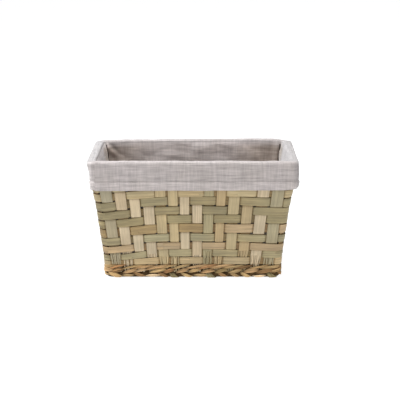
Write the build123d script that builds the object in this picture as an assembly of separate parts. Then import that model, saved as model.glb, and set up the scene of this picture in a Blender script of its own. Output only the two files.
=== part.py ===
from build123d import *
import math
import os

# Lined bread basket: a rectangular basket plaited in 2/2 twill from flat leaf
# strips, standing on a plaited foot, with a cloth liner whose cuff is turned
# down over the rim.  Millimetres, Z up, front is -Y, long side along X.
# Origin: centre of the footprint, on the surface the basket stands on.

# ---------------------------------------------------------------- dimensions
CUFF_HALF_X = 150.0      # outer half width over the cuff hem
CUFF_HALF_Y = 90.0       # outer half depth over the cuff hem
TOP_Z = 176.0            # top of the folded cuff
A0, B0 = 125.2, 65.2     # half width / half depth of the wall's mid surface at z = 0
CHAMFER = 9.0            # corner facet leg, measured along X and Y
LEAN = 0.12              # outward lean of every wall, mm per mm of height

STRIP_T = 0.8            # leaf strip thickness
STRIP_N = 0.5            # offset of a strip's middle from the wall's mid surface
GAP = 3.2                # gap between neighbouring stakes, crossed by the weavers
END = 1.2                # margin between a corner fold and the first stake gap
STAKE_Z0, STAKE_Z1 = 9.2, 171.5
CORNER_STAKE_W = 10.2

# front and back stakes: uneven pitch, as plaited by hand, left to right
FRONT_PITCH = [17.2, 18.7, 18.5, 18.3, 17.5, 16.1, 16.75, 17.05, 16.6, 16.6, 19.6, 19.1, 20.35, 19.25]
SIDE_PITCH = [15.6, 16.9, 16.2, 17.1, 16.6, 16.0, 17.0, 16.2]
# weaver rows from the foot up: height of the middle line and strip width
ROWS = [(27.2, 10.2), (39.2, 10.2), (50.8, 10.2), (63.0, 10.8), (77.0, 11.8), (91.0, 11.8),
        (104.4, 11.5), (118.0, 11.4), (130.8, 11.0), (143.4, 10.8), (155.6, 10.6)]

FOOT_TOP = 20.8          # top edge of the foot plait
FOOT_OUT = 4.0           # the foot stands this far proud of the wall's mid surface
BASE_Z = 8.1             # mid height of the plaited base
BASE_W, BASE_GAP = 12.6, 2.4

RIM_WIRE_D, RIM_WIRE_N, RIM_WIRE_Z = 3.6, -4.1, 170.5
FOOT_WIRE_D, FOOT_WIRE_N, FOOT_WIRE_Z = 3.5, -5.1, 5.15
POST_D = 2.6

CLOTH_T = 1.0            # liner cloth, two layers
LINER_N = -8.0           # outer face of the liner's walls
LINER_Z0 = 9.3           # underside of the liner's floor
FOLD_Z = 174.8           # underside of the top fold
CUFF_Z = 135.5           # bottom edge of the cuff
HEM_Z = 146.5            # top edge of the hem
CUFF_S = 21.0            # the cuff hangs plumb, so it takes one fixed wall offset

SQ = math.sqrt(2.0)
TN = SQ - 1.0
NFRONT, NSIDE = len(FRONT_PITCH), len(SIDE_PITCH)
NST = 2 * NFRONT + 2 * NSIDE + 4


# ---------------------------------------------------------------- plan helpers
# Faces, counter-clockwise seen from above: 0 front, 1 front-right facet,
# 2 right, 3 back-right facet, 4 back, 5 back-left facet, 6 left, 7 front-left facet
DIRS = [((0, -1), (1, 0)), ((1 / SQ, -1 / SQ), (1 / SQ, 1 / SQ)), ((1, 0), (0, 1)),
        ((1 / SQ, 1 / SQ), (-1 / SQ, 1 / SQ)), ((0, 1), (-1, 0)), ((-1 / SQ, 1 / SQ), (-1 / SQ, -1 / SQ)),
        ((-1, 0), (0, -1)), ((-1 / SQ, -1 / SQ), (1 / SQ, -1 / SQ))]
FACET_U = {1: (A0 - B0) / SQ, 3: -(A0 - B0) / SQ, 5: (A0 - B0) / SQ, 7: -(A0 - B0) / SQ}


def lean(z):
    return LEAN * z


def on_face(k, u, n, z, s=None):
    """Point on face k: u along the face, n outward from the wall's mid surface."""
    s = lean(z) if s is None else s
    if k in (0, 4):
        d = B0 + s + n
    elif k in (2, 6):
        d = A0 + s + n
    else:
        d = (A0 + B0 - CHAMFER + 2 * s) / SQ + n
        u = u + FACET_U[k]
    (mx, my), (ux, uy) = DIRS[k]
    return (mx * d + ux * u, my * d + uy * u, z)


def half_len(k, n, z, s=None):
    """Half length of face k at offset n."""
    s = lean(z) if s is None else s
    if k in (0, 4):
        return A0 - CHAMFER + s + TN * n
    if k in (2, 6):
        return B0 - CHAMFER + s + TN * n
    return CHAMFER / SQ + TN * n


def poly_solid(polys):
    """A closed solid from flat polygons."""
    faces = [Face(Wire.make_polygon([Vector(*p) for p in q], close=True)) for q in polys]
    sol = Solid(Shell(faces))
    if sol.volume < 0:
        sol = Solid(sol.wrapped.Reversed())
    return sol


def ring(profile, s=None):
    """An eight-sided ring from a closed (n, z) profile."""
    polys = []
    m = len(profile)
    for k in range(8):
        for e in range(m):
            (n1, z1), (n2, z2) = profile[e], profile[(e + 1) % m]
            h1, h2 = half_len(k, n1, z1, s), half_len(k, n2, z2, s)
            polys.append([on_face(k, -h1, n1, z1, s), on_face(k, h1, n1, z1, s),
                          on_face(k, h2, n2, z2, s), on_face(k, -h2, n2, z2, s)])
    return poly_solid(polys)


def side_piece(k, profile, s=None):
    """One side of a ring: flat face k with half of each corner facet."""
    kp, kn = (k - 1) % 8, (k + 1) % 8
    polys = []
    m = len(profile)
    cap0, cap1 = [], []
    for e in range(m):
        (n1, z1), (n2, z2) = profile[e], profile[(e + 1) % m]
        for f, lo, hi in ((kp, 0, 1), (k, -1, 1), (kn, -1, 0)):
            h1, h2 = half_len(f, n1, z1, s), half_len(f, n2, z2, s)
            polys.append([on_face(f, lo * h1, n1, z1, s), on_face(f, hi * h1, n1, z1, s),
                          on_face(f, hi * h2, n2, z2, s), on_face(f, lo * h2, n2, z2, s)])
        cap0.append(on_face(kp, 0, n1, z1, s))
        cap1.append(on_face(kn, 0, n1, z1, s))
    return poly_solid(polys + [cap0, cap1])


def plate(n, z0, z1, s=None):
    """A flat eight-sided plate."""
    def loop(z):
        pts = []
        for k in range(8):
            pts.append(on_face(k, -half_len(k, n, z, s), n, z, s))
        return pts
    lo, hi = loop(z0), loop(z1)
    polys = [lo, hi]
    for i in range(8):
        j = (i + 1) % 8
        polys.append([lo[i], lo[j], hi[j], hi[i]])
    return poly_solid(polys)


def prism(k, uz, n0, n1):
    """A flat patch on face k, outline in (u, z), between offsets n0 and n1."""
    outer = [on_face(k, u, n1, z) for u, z in uz]
    inner = [on_face(k, u, n0, z) for u, z in uz]
    m = len(uz)
    polys = [outer, inner]
    for i in range(m):
        j = (i + 1) % m
        polys.append([outer[i], outer[j], inner[j], inner[i]])
    return poly_solid(polys)


def clip(poly, f):
    """Keep the part of a (u, z) polygon where f(u, z) <= 0; f is linear."""
    out = []
    m = len(poly)
    for i in range(m):
        p, q = poly[i], poly[(i + 1) % m]
        fp, fq = f(*p), f(*q)
        if fp <= 0:
            out.append(p)
        if (fp < 0 < fq) or (fq < 0 < fp):
            t = fp / (fp - fq)
            out.append((p[0] + t * (q[0] - p[0]), p[1] + t * (q[1] - p[1])))
    return out


# ---------------------------------------------------------------- the plait
CORNERS = (0, NFRONT + 1, NFRONT + NSIDE + 2, 2 * NFRONT + NSIDE + 3)


def weaver_outside(j, i):
    """Twill rule: two over, two under, one step along each row.
    Every row passes outside the corner stakes."""
    return j % NST in CORNERS or (j + i) % 4 in (3, 0)


# stakes in order round the basket, from the front-left corner
STAKES = [(7, None)] + [(0, q) for q in range(NFRONT)] + [(1, None)] + [(2, q) for q in range(NSIDE)] \
    + [(3, None)] + [(4, q) for q in range(NFRONT)] + [(5, None)] + [(6, q) for q in range(NSIDE)]


def pitches(k):
    if k == 0:
        return FRONT_PITCH
    if k == 4:
        return FRONT_PITCH[::-1]
    return SIDE_PITCH if k == 2 else SIDE_PITCH[::-1]


def cell(k, q, z):
    """Limits of stake q's cell along face k at height z."""
    p = pitches(k)
    half = half_len(k, 0, z) - END
    tot = sum(p)
    a = -half + 2 * half * sum(p[:q]) / tot
    b = -half + 2 * half * sum(p[:q + 1]) / tot
    return a, b


def stake(j):
    k, q = STAKES[j]
    # zigzag of the strip's middle: (z, n)
    path = []
    n = -STRIP_N if weaver_outside(j, 0) else STRIP_N
    path.append((STAKE_Z0, n))
    for i in range(1, len(ROWS)):
        m = -STRIP_N if weaver_outside(j, i) else STRIP_N
        if m != n:
            za = ROWS[i - 1][0] + ROWS[i - 1][1] / 2
            zb = ROWS[i][0] - ROWS[i][1] / 2
            mid = (za + zb) / 2
            path += [(mid - 0.62, n), (mid + 0.62, m)]
            n = m
    path.append((STAKE_Z1, n))

    def edges(z):
        if q is None:
            return -CORNER_STAKE_W / 2, CORNER_STAKE_W / 2
        a, b = cell(k, q, z)
        return a + GAP / 2, b - GAP / 2
    t = STRIP_T / 2
    polys, left, right = [], [], []
    for (z1, n1), (z2, n2) in zip(path[:-1], path[1:]):
        (l1, r1), (l2, r2) = edges(z1), edges(z2)
        for d in (t, -t):
            polys.append([on_face(k, l1, n1 + d, z1), on_face(k, r1, n1 + d, z1),
                          on_face(k, r2, n2 + d, z2), on_face(k, l2, n2 + d, z2)])
    for z, n in path:
        l, r = edges(z)
        left.append((on_face(k, l, n + t, z), on_face(k, l, n - t, z)))
        right.append((on_face(k, r, n + t, z), on_face(k, r, n - t, z)))
    for rail in (left, right):
        polys.append([a for a, b in rail] + [b for a, b in reversed(rail)])
    for e in (0, -1):
        polys.append([left[e][0], right[e][0], right[e][1], left[e][1]])
    return poly_solid(polys)


def weaver(i):
    """One closed ring of flat strip, over two stakes and under two."""
    zc, w = ROWS[i]
    z0, z1 = zc - w / 2, zc + w / 2
    t = STRIP_T / 2

    def off(j):
        return STRIP_N if weaver_outside(j % NST, i) else -STRIP_N
    # stations round the ring: function (n offset, z) -> point
    stations = []
    for j in range(NST):
        k, q = STAKES[j]
        here, nxt = off(j), off(j + 1)
        k2, q2 = STAKES[(j + 1) % NST]
        if q is not None and q2 is not None:                    # gap in a flat
            if here != nxt:
                def st(d, z, k=k, q=q, e=0.0, n=0.0):
                    return on_face(k, cell(k, q, z)[1] + e, n + d, z)
                stations.append(lambda d, z, f=st, n=here: f(d, z, e=-0.75, n=n))
                stations.append(lambda d, z, f=st, n=nxt: f(d, z, e=0.75, n=n))
        elif q is None:                                        # corner facet, then a flat
            stations.append(lambda d, z, k=k2, n=here: on_face(k, -half_len(k, n + d, z), n + d, z))
            if here != nxt:
                stations.append(lambda d, z, k=k2, n=here: on_face(k, -half_len(k, 0, z) + 0.5, n + d, z))
                stations.append(lambda d, z, k=k2, n=nxt: on_face(k, -half_len(k, 0, z) + 2.0, n + d, z))
        else:                                                  # a flat, then a corner facet
            if here != nxt:
                stations.append(lambda d, z, k=k, n=here: on_face(k, half_len(k, 0, z) - 2.0, n + d, z))
                stations.append(lambda d, z, k=k, n=nxt: on_face(k, half_len(k, 0, z) - 0.5, n + d, z))
            stations.append(lambda d, z, k=k, n=nxt: on_face(k, half_len(k, n + d, z), n + d, z))
    polys = []
    m = len(stations)
    pts = [[f(t, z0), f(t, z1), f(-t, z0), f(-t, z1)] for f in stations]
    for a in range(m):
        p, r = pts[a], pts[(a + 1) % m]
        polys.append([p[0], r[0], r[1], p[1]])      # outer
        polys.append([p[2], r[2], r[3], p[3]])      # inner
        polys.append([p[1], r[1], r[3], p[3]])      # top
        polys.append([p[0], r[0], r[2], p[2]])      # bottom
    return poly_solid(polys)


# ---------------------------------------------------------------- the base
def base_strips():
    """Plaited base: long strips along X, cross strips along Y, 2/2 twill."""
    s = lean(BASE_Z)
    pitch = BASE_W + BASE_GAP
    nl, nc = 8, 16
    t, o = STRIP_T / 2, STRIP_N

    def limit(v, across):
        """How far a strip reaches when its outer edge is at v."""
        plain = (A0 if across == 'x' else B0) + s - 1.3
        return min(plain, (A0 + B0 - CHAMFER + 2 * s) - 7.0 * SQ - abs(v))
    ys = [(i - (nl - 1) / 2) * pitch for i in range(nl)]
    xs = [(i - (nc - 1) / 2) * pitch for i in range(nc)]

    def strip(c, along, others, idx, kind):
        reach = limit(abs(c) + BASE_W / 2, 'x' if kind == 'long' else 'y')
        inside = [m for m in range(len(others)) if abs(others[m]) - BASE_W / 2 < reach]
        up = {m: ((m + idx) % 4 in (0, 1)) == (kind == 'long') for m in inside}
        path = []
        z = BASE_Z + (o if up[inside[0]] else -o)
        path.append((-reach, z))
        for m in inside[1:]:
            nz = BASE_Z + (o if up[m] else -o)
            if nz != z:
                mid = (others[m - 1] + others[m]) / 2
                path += [(mid - 0.7, z), (mid + 0.7, nz)]
                z = nz
        path.append((reach, z))

        def P(a, v, zz):
            return (a, v, zz) if kind == 'long' else (v, a, zz)
        v0, v1 = c - BASE_W / 2, c + BASE_W / 2
        polys = []
        for (a1, z1), (a2, z2) in zip(path[:-1], path[1:]):
            for d in (t, -t):
                polys.append([P(a1, v0, z1 + d), P(a1, v1, z1 + d), P(a2, v1, z2 + d), P(a2, v0, z2 + d)])
        for v in (v0, v1):
            polys.append([P(a, v, z + t) for a, z in path] + [P(a, v, z - t) for a, z in reversed(path)])
        for a, z in (path[0], path[-1]):
            polys.append([P(a, v0, z + t), P(a, v1, z + t), P(a, v1, z - t), P(a, v0, z - t)])
        return poly_solid(polys)
    longs = [strip(ys[i], 'x', xs, i, 'long') for i in range(nl)]
    crosses = [strip(xs[i], 'y', ys, i, 'cross') for i in range(nc)]
    return longs, crosses


# ---------------------------------------------------------------- the foot
def foot_patches(z0, z1, slant, margin):
    """Slanted bundles, one per stake pitch, on each face of the foot."""
    out = {k: [] for k in range(8)}
    for k in range(8):
        if k % 2:
            h = CHAMFER / SQ + TN * 1.2 - 0.25
            out[k].append(prism(k, [(-h, z0), (h, z0), (h, z1), (-h, z1)], 1.2, FOOT_OUT))
            continue
        nq = NFRONT if k in (0, 4) else NSIDE
        zm = (z0 + z1) / 2
        hl = half_len(k, 1.2, z0)

        def lim_r(u, z, k=k):
            return u - (half_len(k, 1.2, z) - 0.25)

        def lim_l(u, z, k=k):
            return -u - (half_len(k, 1.2, z) - 0.25)
        for q in range(-1, nq + 1):
            p = 2 * hl / nq
            a, b = -hl + p * q, -hl + p * (q + 1)
            poly = [(a + margin - slant / 2, z0), (b - margin - slant / 2, z0),
                    (b - margin + slant / 2, z1), (a + margin + slant / 2, z1)]
            poly = clip(clip(poly, lim_r), lim_l)
            if len(poly) < 3:
                continue
            area = abs(sum(poly[i][0] * poly[(i + 1) % len(poly)][1] - poly[(i + 1) % len(poly)][0] * poly[i][1]
                           for i in range(len(poly)))) / 2
            if area < 12:
                continue
            out[k].append(prism(k, poly, 1.2, FOOT_OUT))
    return out


# ---------------------------------------------------------------- the wires
def wire_ring(n, z, d, s):
    """A round wire bent to a rounded rectangle that follows the wall inside."""
    a, b = A0 + s + n, B0 + s + n
    r = (CHAMFER + (2 - SQ) * n) / SQ / TN
    pl = Plane.XY.offset(z)
    path = pl * RectangleRounded(2 * a, 2 * b, r).wire()
    start = Vector(0, -b, z)
    sect = Plane(origin=start, z_dir=(1, 0, 0)) * Circle(d / 2)
    runs = []
    edges = path.edges()
    for e in edges:
        p = e @ 0
        tdir = e % 0
        sec = Plane(origin=p, z_dir=tdir) * Circle(d / 2)
        runs.append(sweep(sec, path=e))
    body = runs[0]
    for r_ in runs[1:]:
        body = body + r_
    length = sum(e.length for e in edges)
    return body, length * math.pi * d * d / 4


def corner_post(k):
    p0 = Vector(*on_face(k, 0, FOOT_WIRE_N, FOOT_WIRE_Z))
    p1 = Vector(*on_face(k, 0, RIM_WIRE_N, RIM_WIRE_Z))
    d = p1 - p0
    return Plane(origin=p0, z_dir=d) * Cylinder(POST_D / 2, d.length, align=(Align.CENTER, Align.CENTER, Align.MIN))


# ---------------------------------------------------------------- build all
parts = {}

for name, want in (('stakes_front', 0), ('stakes_right', 2), ('stakes_back', 4), ('stakes_left', 6)):
    parts[name] = [stake(j) for j in range(NST) if STAKES[j][0] == want]
parts['stakes_corner'] = [stake(j) for j in range(NST) if STAKES[j][1] is None]
for i in range(len(ROWS)):
    parts['weaver_row_%02d' % (i + 1)] = [weaver(i)]

longs, crosses = base_strips()
parts['base_strips_long'] = longs
parts['base_strips_cross'] = crosses

parts['foot_core_ring'] = [ring([(-3.0, 0.8), (-2.2, 0.0), (0.4, 0.0), (1.0, 0.6), (1.0, 6.8), (-3.0, 6.8)])]
parts['foot_inner_strand'] = [ring([(-3.6, 10.4), (-2.8, 9.3), (-1.2, 9.3), (-1.2, 20.2), (-2.8, 20.2), (-3.6, 19.1)])]
upper = foot_patches(7.2, FOOT_TOP, 17.0, 0.55)
lower = foot_patches(0.5, 6.6, -5.0, 0.7)
for tag, ks in (('front', (7, 0)), ('right', (1, 2)), ('back', (3, 4)), ('left', (5, 6))):
    parts['foot_plait_upper_' + tag] = [s for k in ks for s in upper[k]]
    parts['foot_plait_lower_' + tag] = [s for k in ks for s in lower[k]]

rim_wire, rim_vol = wire_ring(RIM_WIRE_N, RIM_WIRE_Z, RIM_WIRE_D, lean(RIM_WIRE_Z))
foot_wire, foot_vol = wire_ring(FOOT_WIRE_N, FOOT_WIRE_Z, FOOT_WIRE_D, lean(FOOT_WIRE_Z))
parts['frame_rim_wire'] = [rim_wire]
parts['frame_foot_wire'] = [foot_wire]
parts['frame_corner_posts'] = [corner_post(k) for k in (1, 3, 5, 7)]

parts['rim_binding'] = [ring([(1.1, 163.0), (2.1, 163.0), (2.1, 174.3), (-7.7, 174.3), (-7.7, 163.0),
                              (-6.9, 163.0), (-6.9, 173.1), (1.1, 173.1)])]

liner_prof = [(LINER_N, LINER_Z0 + CLOTH_T), (LINER_N, FOLD_Z), (LINER_N - CLOTH_T, FOLD_Z),
              (LINER_N - CLOTH_T, LINER_Z0 + CLOTH_T)]
cuff_prof = [(LINER_N - CLOTH_T, FOLD_Z), (2.6, FOLD_Z), (2.6, CUFF_Z), (3.8, CUFF_Z), (3.8, HEM_Z),
             (3.5, HEM_Z), (3.5, TOP_Z), (LINER_N - CLOTH_T, TOP_Z)]
for tag, k in (('front', 0), ('right', 2), ('back', 4), ('left', 6)):
    parts['liner_panel_' + tag] = [side_piece(k, liner_prof)]
    parts['liner_cuff_' + tag] = [side_piece(k, cuff_prof, CUFF_S)]
parts['liner_floor'] = [plate(LINER_N, LINER_Z0, LINER_Z0 + CLOTH_T, lean(LINER_Z0 + CLOTH_T))]
parts['liner_hem_thread'] = [ring([(3.5, 147.0), (3.8, 147.0), (3.8, 147.6), (3.5, 147.6)], CUFF_S)]
parts['liner_corner_seams'] = [prism(k, [(-1.4, 13.0), (1.4, 13.0), (1.4, 172.0), (-1.4, 172.0)],
                                     LINER_N - CLOTH_T - 0.6, LINER_N - CLOTH_T) for k in (1, 3, 5, 7)]

os.makedirs("parts", exist_ok=True)
print('wires', round(rim_wire.volume / rim_vol, 4), round(foot_wire.volume / foot_vol, 4))
for name, solids in parts.items():
    for s in solids:
        assert s.is_valid and s.volume > 0, name
    shape = solids[0] if len(solids) == 1 else Compound(children=solids)
    shape.label = name
    export_step(shape, "parts/%s.step" % name)
print(len(parts), 'nodes')
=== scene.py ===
import bpy
import math
import numpy as np
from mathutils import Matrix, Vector


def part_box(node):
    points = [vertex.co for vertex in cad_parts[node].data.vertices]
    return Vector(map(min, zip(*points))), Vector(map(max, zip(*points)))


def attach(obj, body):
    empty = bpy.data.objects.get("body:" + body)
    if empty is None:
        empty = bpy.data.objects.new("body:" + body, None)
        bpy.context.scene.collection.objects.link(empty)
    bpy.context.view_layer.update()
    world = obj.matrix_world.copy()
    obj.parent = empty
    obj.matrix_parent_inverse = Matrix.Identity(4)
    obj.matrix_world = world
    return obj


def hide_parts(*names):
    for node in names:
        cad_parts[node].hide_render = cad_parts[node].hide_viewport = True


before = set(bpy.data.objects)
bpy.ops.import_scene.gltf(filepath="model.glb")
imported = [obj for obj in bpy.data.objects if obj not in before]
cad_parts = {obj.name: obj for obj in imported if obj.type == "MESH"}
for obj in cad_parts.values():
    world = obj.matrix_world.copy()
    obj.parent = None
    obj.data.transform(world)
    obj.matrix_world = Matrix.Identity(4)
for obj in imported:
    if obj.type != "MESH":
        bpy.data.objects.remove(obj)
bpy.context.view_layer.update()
rng = np.random.default_rng(20)
MM = 0.001

# ------------------------------------------------------------------ frame sizes (mm)
# The wall's lean and half sizes come from two weaver rows of the CAD frame.


def bx(node):
    lo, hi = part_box(node)
    return np.array(lo) * 1000.0, np.array(hi) * 1000.0


r1, r11 = bx("weaver_row_01"), bx("weaver_row_11")
K = (r11[1][0] - r1[1][0]) / (r11[1][2] - r1[1][2])
A0 = r1[1][0] - 0.9 - K * r1[1][2]
B0 = r1[1][1] - 0.9 - K * r1[1][2]
ROWZ = np.array([(bx("weaver_row_%02d" % i)[0][2] + bx("weaver_row_%02d" % i)[1][2]) / 2 for i in range(1, 12)])
ROWW = np.array([(bx("weaver_row_%02d" % i)[1][2] - bx("weaver_row_%02d" % i)[0][2]) for i in range(1, 12)])
CUFF_LO, CUFF_HI = bx("liner_cuff_front")
CUFF_HX = bx("liner_cuff_right")[1][0]
CUFF_HY = -CUFF_LO[1]
TOPZ = CUFF_HI[2]
CUFFZ = CUFF_LO[2]
FLOORZ = bx("liner_floor")[1][2]
RC = 11.0                 # corner radius of the wall's mid surface
ZREF = 90.0               # height at which distances round the wall are counted


def A(z):
    return A0 + K * z


def B(z):
    return B0 + K * z


FX, FY, LA = A(ZREF) - RC, B(ZREF) - RC, RC * math.pi / 2
PER = 4 * FX + 4 * FY + 4 * LA


def smooth(x, a, b):
    t = np.clip((x - a) / (b - a), 0, 1)
    return t * t * (3 - 2 * t)


def bow(z):
    """The walls draw in a little over most of their height and swell just under the cuff."""
    return -0.7 * smooth(z, 15, 35) * (1 - smooth(z, 100, 122)) + 0.8 * np.exp(-((z - 131.0) / 9.0) ** 2)


def wall(u, z, n, rc=RC, bowed=True):
    """Point and outward normal on the wall: u along the wall, z height, n outward offset."""
    u, z, n = np.broadcast_arrays(np.asarray(u, float), np.asarray(z, float), np.asarray(n, float))
    if bowed:
        n = n + bow(z)
    um = np.mod(u + FX, PER)
    a, b = A(z), B(z)
    sx, sy = (a - rc) / FX, (b - rc) / FY
    P = np.zeros(u.shape + (3,))
    N = np.zeros(u.shape + (3,))
    P[..., 2] = z
    edges = np.cumsum([0, 2 * FX, LA, 2 * FY, LA, 2 * FX, LA, 2 * FY, LA])
    for s in range(8):
        m = (um >= edges[s]) & (um < edges[s + 1] + (1e-9 if s == 7 else 0))
        if not m.any():
            continue
        v = um[m] - edges[s]
        am, bm, nm, zx, zy = a[m], b[m], n[m], sx[m], sy[m]
        if s == 0:
            P[m, 0], P[m, 1] = (v - FX) * zx, -(bm + nm)
            N[m, 1] = -1
        elif s == 4:
            P[m, 0], P[m, 1] = -(v - FX) * zx, bm + nm
            N[m, 1] = 1
        elif s == 2:
            P[m, 0], P[m, 1] = am + nm, (v - FY) * zy
            N[m, 0] = 1
        elif s == 6:
            P[m, 0], P[m, 1] = -(am + nm), -(v - FY) * zy
            N[m, 0] = -1
        else:
            th = v / LA * math.pi / 2 + {1: -math.pi / 2, 3: 0, 5: math.pi / 2, 7: math.pi}[s]
            cx = (am - rc) * (1 if s in (1, 3) else -1)
            cy = (bm - rc) * (1 if s in (3, 5) else -1)
            P[m, 0], P[m, 1] = cx + (rc + nm) * np.cos(th), cy + (rc + nm) * np.sin(th)
            N[m, 0], N[m, 1] = np.cos(th), np.sin(th)
    return P, N


# ------------------------------------------------------------------ smooth noise
def _h(i, j, seed):
    x = (i.astype(np.int64) * 374761393 + j.astype(np.int64) * 668265263 + int(seed) * 974634777) & 0x7FFFFFFF
    x = ((x ^ (x >> 13)) * 1274126177) & 0x7FFFFFFF
    x = x ^ (x >> 16)
    return (x & 0xFFFF) / 32767.5 - 1.0


def noise(x, y=0.0, seed=0):
    """Smooth value noise in -1..1."""
    x, y = np.broadcast_arrays(np.asarray(x, float), np.asarray(y, float))
    i, j = np.floor(x), np.floor(y)
    fx, fy = x - i, y - j
    fx, fy = fx * fx * fx * (fx * (fx * 6 - 15) + 10), fy * fy * fy * (fy * (fy * 6 - 15) + 10)
    a, b = _h(i, j, seed), _h(i + 1, j, seed)
    c, d = _h(i, j + 1, seed), _h(i + 1, j + 1, seed)
    return (a * (1 - fx) + b * fx) * (1 - fy) + (c * (1 - fx) + d * fx) * fy


def ring_noise(u, cell, seed, y=0.0):
    """Noise that closes on itself once round the wall."""
    k = max(3, round(PER / cell))
    x = np.mod(u / PER, 1.0) * k
    i = np.floor(x)
    f = x - i
    f = f * f * (3 - 2 * f)
    y = np.broadcast_to(np.asarray(y, float), np.shape(x))
    j = np.floor(y)
    g = y - j
    g = g * g * (3 - 2 * g)
    i0, i1 = np.mod(i, k), np.mod(i + 1, k)
    lo = _h(i0, j, seed) * (1 - f) + _h(i1, j, seed) * f
    hi = _h(i0, j + 1, seed) * (1 - f) + _h(i1, j + 1, seed) * f
    return lo * (1 - g) + hi * g


# ------------------------------------------------------------------ mesh builder
class Build:
    def __init__(self):
        self.v, self.f, self.uv, self.tint, self.edge, self.seed = [], [], [], [], [], []
        self.n = 0

    def add(self, verts, faces, uvs, tint, edge, seed):
        """uvs: per face corner, flat list in face order."""
        self.v.append(verts)
        self.f.extend([[i + self.n for i in q] for q in faces])
        self.uv.append(uvs)
        self.tint.append(tint)
        self.edge.append(edge)
        self.seed.append(np.full(len(verts), seed))
        self.n += len(verts)

    def ribbon(self, P, N, S, W, t=0.8, crown=0.15, tint=(0.5, 0.4, 0.3), seed=0.0, closed=False, k=7, v0=0.0):
        """A flat strip with rounded edges.  P centre line, N outward normal, S width direction, W widths."""
        P, N, S = np.asarray(P, float), np.asarray(N, float), np.asarray(S, float)
        m = len(P)
        W = np.broadcast_to(np.asarray(W, float), (m,))
        t = np.broadcast_to(np.asarray(t, float), (m,))
        crown = np.broadcast_to(np.asarray(crown, float), (m,))
        s = np.sin(np.linspace(-1, 1, k) * math.pi / 2 * 0.94) / math.sin(math.pi / 2 * 0.94)
        prof = np.sqrt(np.clip(1 - np.abs(s) ** 7, 0.03, 1))
        top = [(a, h) for a, h in zip(s, prof)]
        bot = [(a, -h) for a, h in zip(s[::-1], prof[::-1])]
        sec = top + bot
        c = len(sec)
        ss = np.array([q[0] for q in sec])
        hh = np.array([q[1] for q in sec])
        V = (P[:, None, :] + S[:, None, :] * (W[:, None] / 2 * ss[None])[..., None]
             + N[:, None, :] * (t[:, None] / 2 * hh[None] + crown[:, None] * (1 - ss[None] ** 2))[..., None])
        V = V.reshape(-1, 3)
        d = np.linalg.norm(np.diff(P, axis=0), axis=1)
        L = np.concatenate([[0], np.cumsum(d)]) + v0
        last = np.linalg.norm(P[-1] - P[0])
        faces, uvs = [], []
        rows = m if closed else m - 1
        for i in range(rows):
            j = (i + 1) % m
            la, lb = L[i], (L[i + 1] if i + 1 < m else L[i] + last)
            wa, wb = W[i] / 2, W[j] / 2
            for q in range(c):
                r = (q + 1) % c
                faces.append([i * c + q, i * c + r, j * c + r, j * c + q])
                sq, sr = ss[q], ss[r]
                uvs += [(sq * wa, la), (sr * wa, la), (sr * wb, lb), (sq * wb, lb)]
        if not closed:
            for i, flip in ((0, True), (m - 1, False)):
                for q in range(k - 1):
                    quad = [i * c + q, i * c + q + 1, i * c + c - 2 - q, i * c + c - 1 - q]
                    if flip:
                        quad = quad[::-1]
                    faces.append(quad)
                    uvs += [(0.0, L[i])] * 4
        tint = np.asarray(tint, float)
        if tint.ndim == 1:
            tint = np.broadcast_to(tint, (m, 3))
        self.add(V, faces, np.array(uvs), np.repeat(tint, c, axis=0), np.tile(np.abs(ss), m), seed)

    def make(self, name, mat, body, slot=None, replaces=(), smooth_shade=True):
        me = bpy.data.meshes.new(name)
        V = np.concatenate(self.v) * MM
        me.from_pydata(V.tolist(), [], self.f)
        uv = me.uv_layers.new(name="UVMap")
        flat = np.concatenate(self.uv) * MM
        uv.data.foreach_set("uv", flat.ravel())
        ca = me.attributes.new("tint", 'FLOAT_COLOR', 'POINT')
        t = np.concatenate(self.tint)
        ca.data.foreach_set("color", np.concatenate([t, np.ones((len(t), 1))], axis=1).ravel())
        for nm, arr in (("edge", self.edge), ("seed", self.seed)):
            at = me.attributes.new(nm, 'FLOAT', 'POINT')
            at.data.foreach_set("value", np.concatenate(arr))
        me.polygons.foreach_set("use_smooth", [smooth_shade] * len(me.polygons))
        me.materials.append(mat)
        me.validate()
        me.update()
        ob = bpy.data.objects.new(name, me)
        bpy.context.scene.collection.objects.link(ob)
        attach(ob, body)
        if replaces:
            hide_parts(*replaces)
        return ob


# ------------------------------------------------------------------ colours
def srgb(r, g, b):
    c = np.array([r, g, b]) / 255.0
    return np.where(c <= 0.04045, c / 12.92, ((c + 0.055) / 1.055) ** 2.4)


LEAF = {
    "beige": srgb(192, 174, 143), "pale": srgb(196, 179, 148), "straw": srgb(184, 165, 125),
    "olive": srgb(154, 140, 103), "moss": srgb(154, 139, 100), "greygreen": srgb(169, 158, 130),
    "sage": srgb(164, 151, 114), "gold": srgb(162, 138, 95), "tan": srgb(181, 159, 119),
    "pink": srgb(178, 154, 118), "brown": srgb(152, 126, 91), "rust": srgb(184, 148, 108),
}


def mixc(c, n, k):
    """Tint with brightness and hue wander."""
    out = np.asarray(c)[None] * (1 + 0.10 * n[:, None])
    out[:, 0] *= 1 + 0.03 * k
    out[:, 2] *= 1 - 0.04 * k
    return np.clip(out, 0.01, 1)


# ------------------------------------------------------------------ node helpers
def new_mat(name):
    m = bpy.data.materials.new(name)
    m.use_nodes = True
    nt = m.node_tree
    nt.nodes.clear()
    out = nt.nodes.new("ShaderNodeOutputMaterial")
    b = nt.nodes.new("ShaderNodeBsdfPrincipled")
    nt.links.new(b.outputs[0], out.inputs[0])
    return m, nt, b


def math_node(nt, op, a, b=None, clamp=False):
    n = nt.nodes.new("ShaderNodeMath")
    n.operation = op
    n.use_clamp = clamp
    for i, x in enumerate((a, b)):
        if x is None:
            continue
        if isinstance(x, (int, float)):
            n.inputs[i].default_value = x
        else:
            nt.links.new(x, n.inputs[i])
    return n.outputs[0]


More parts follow.
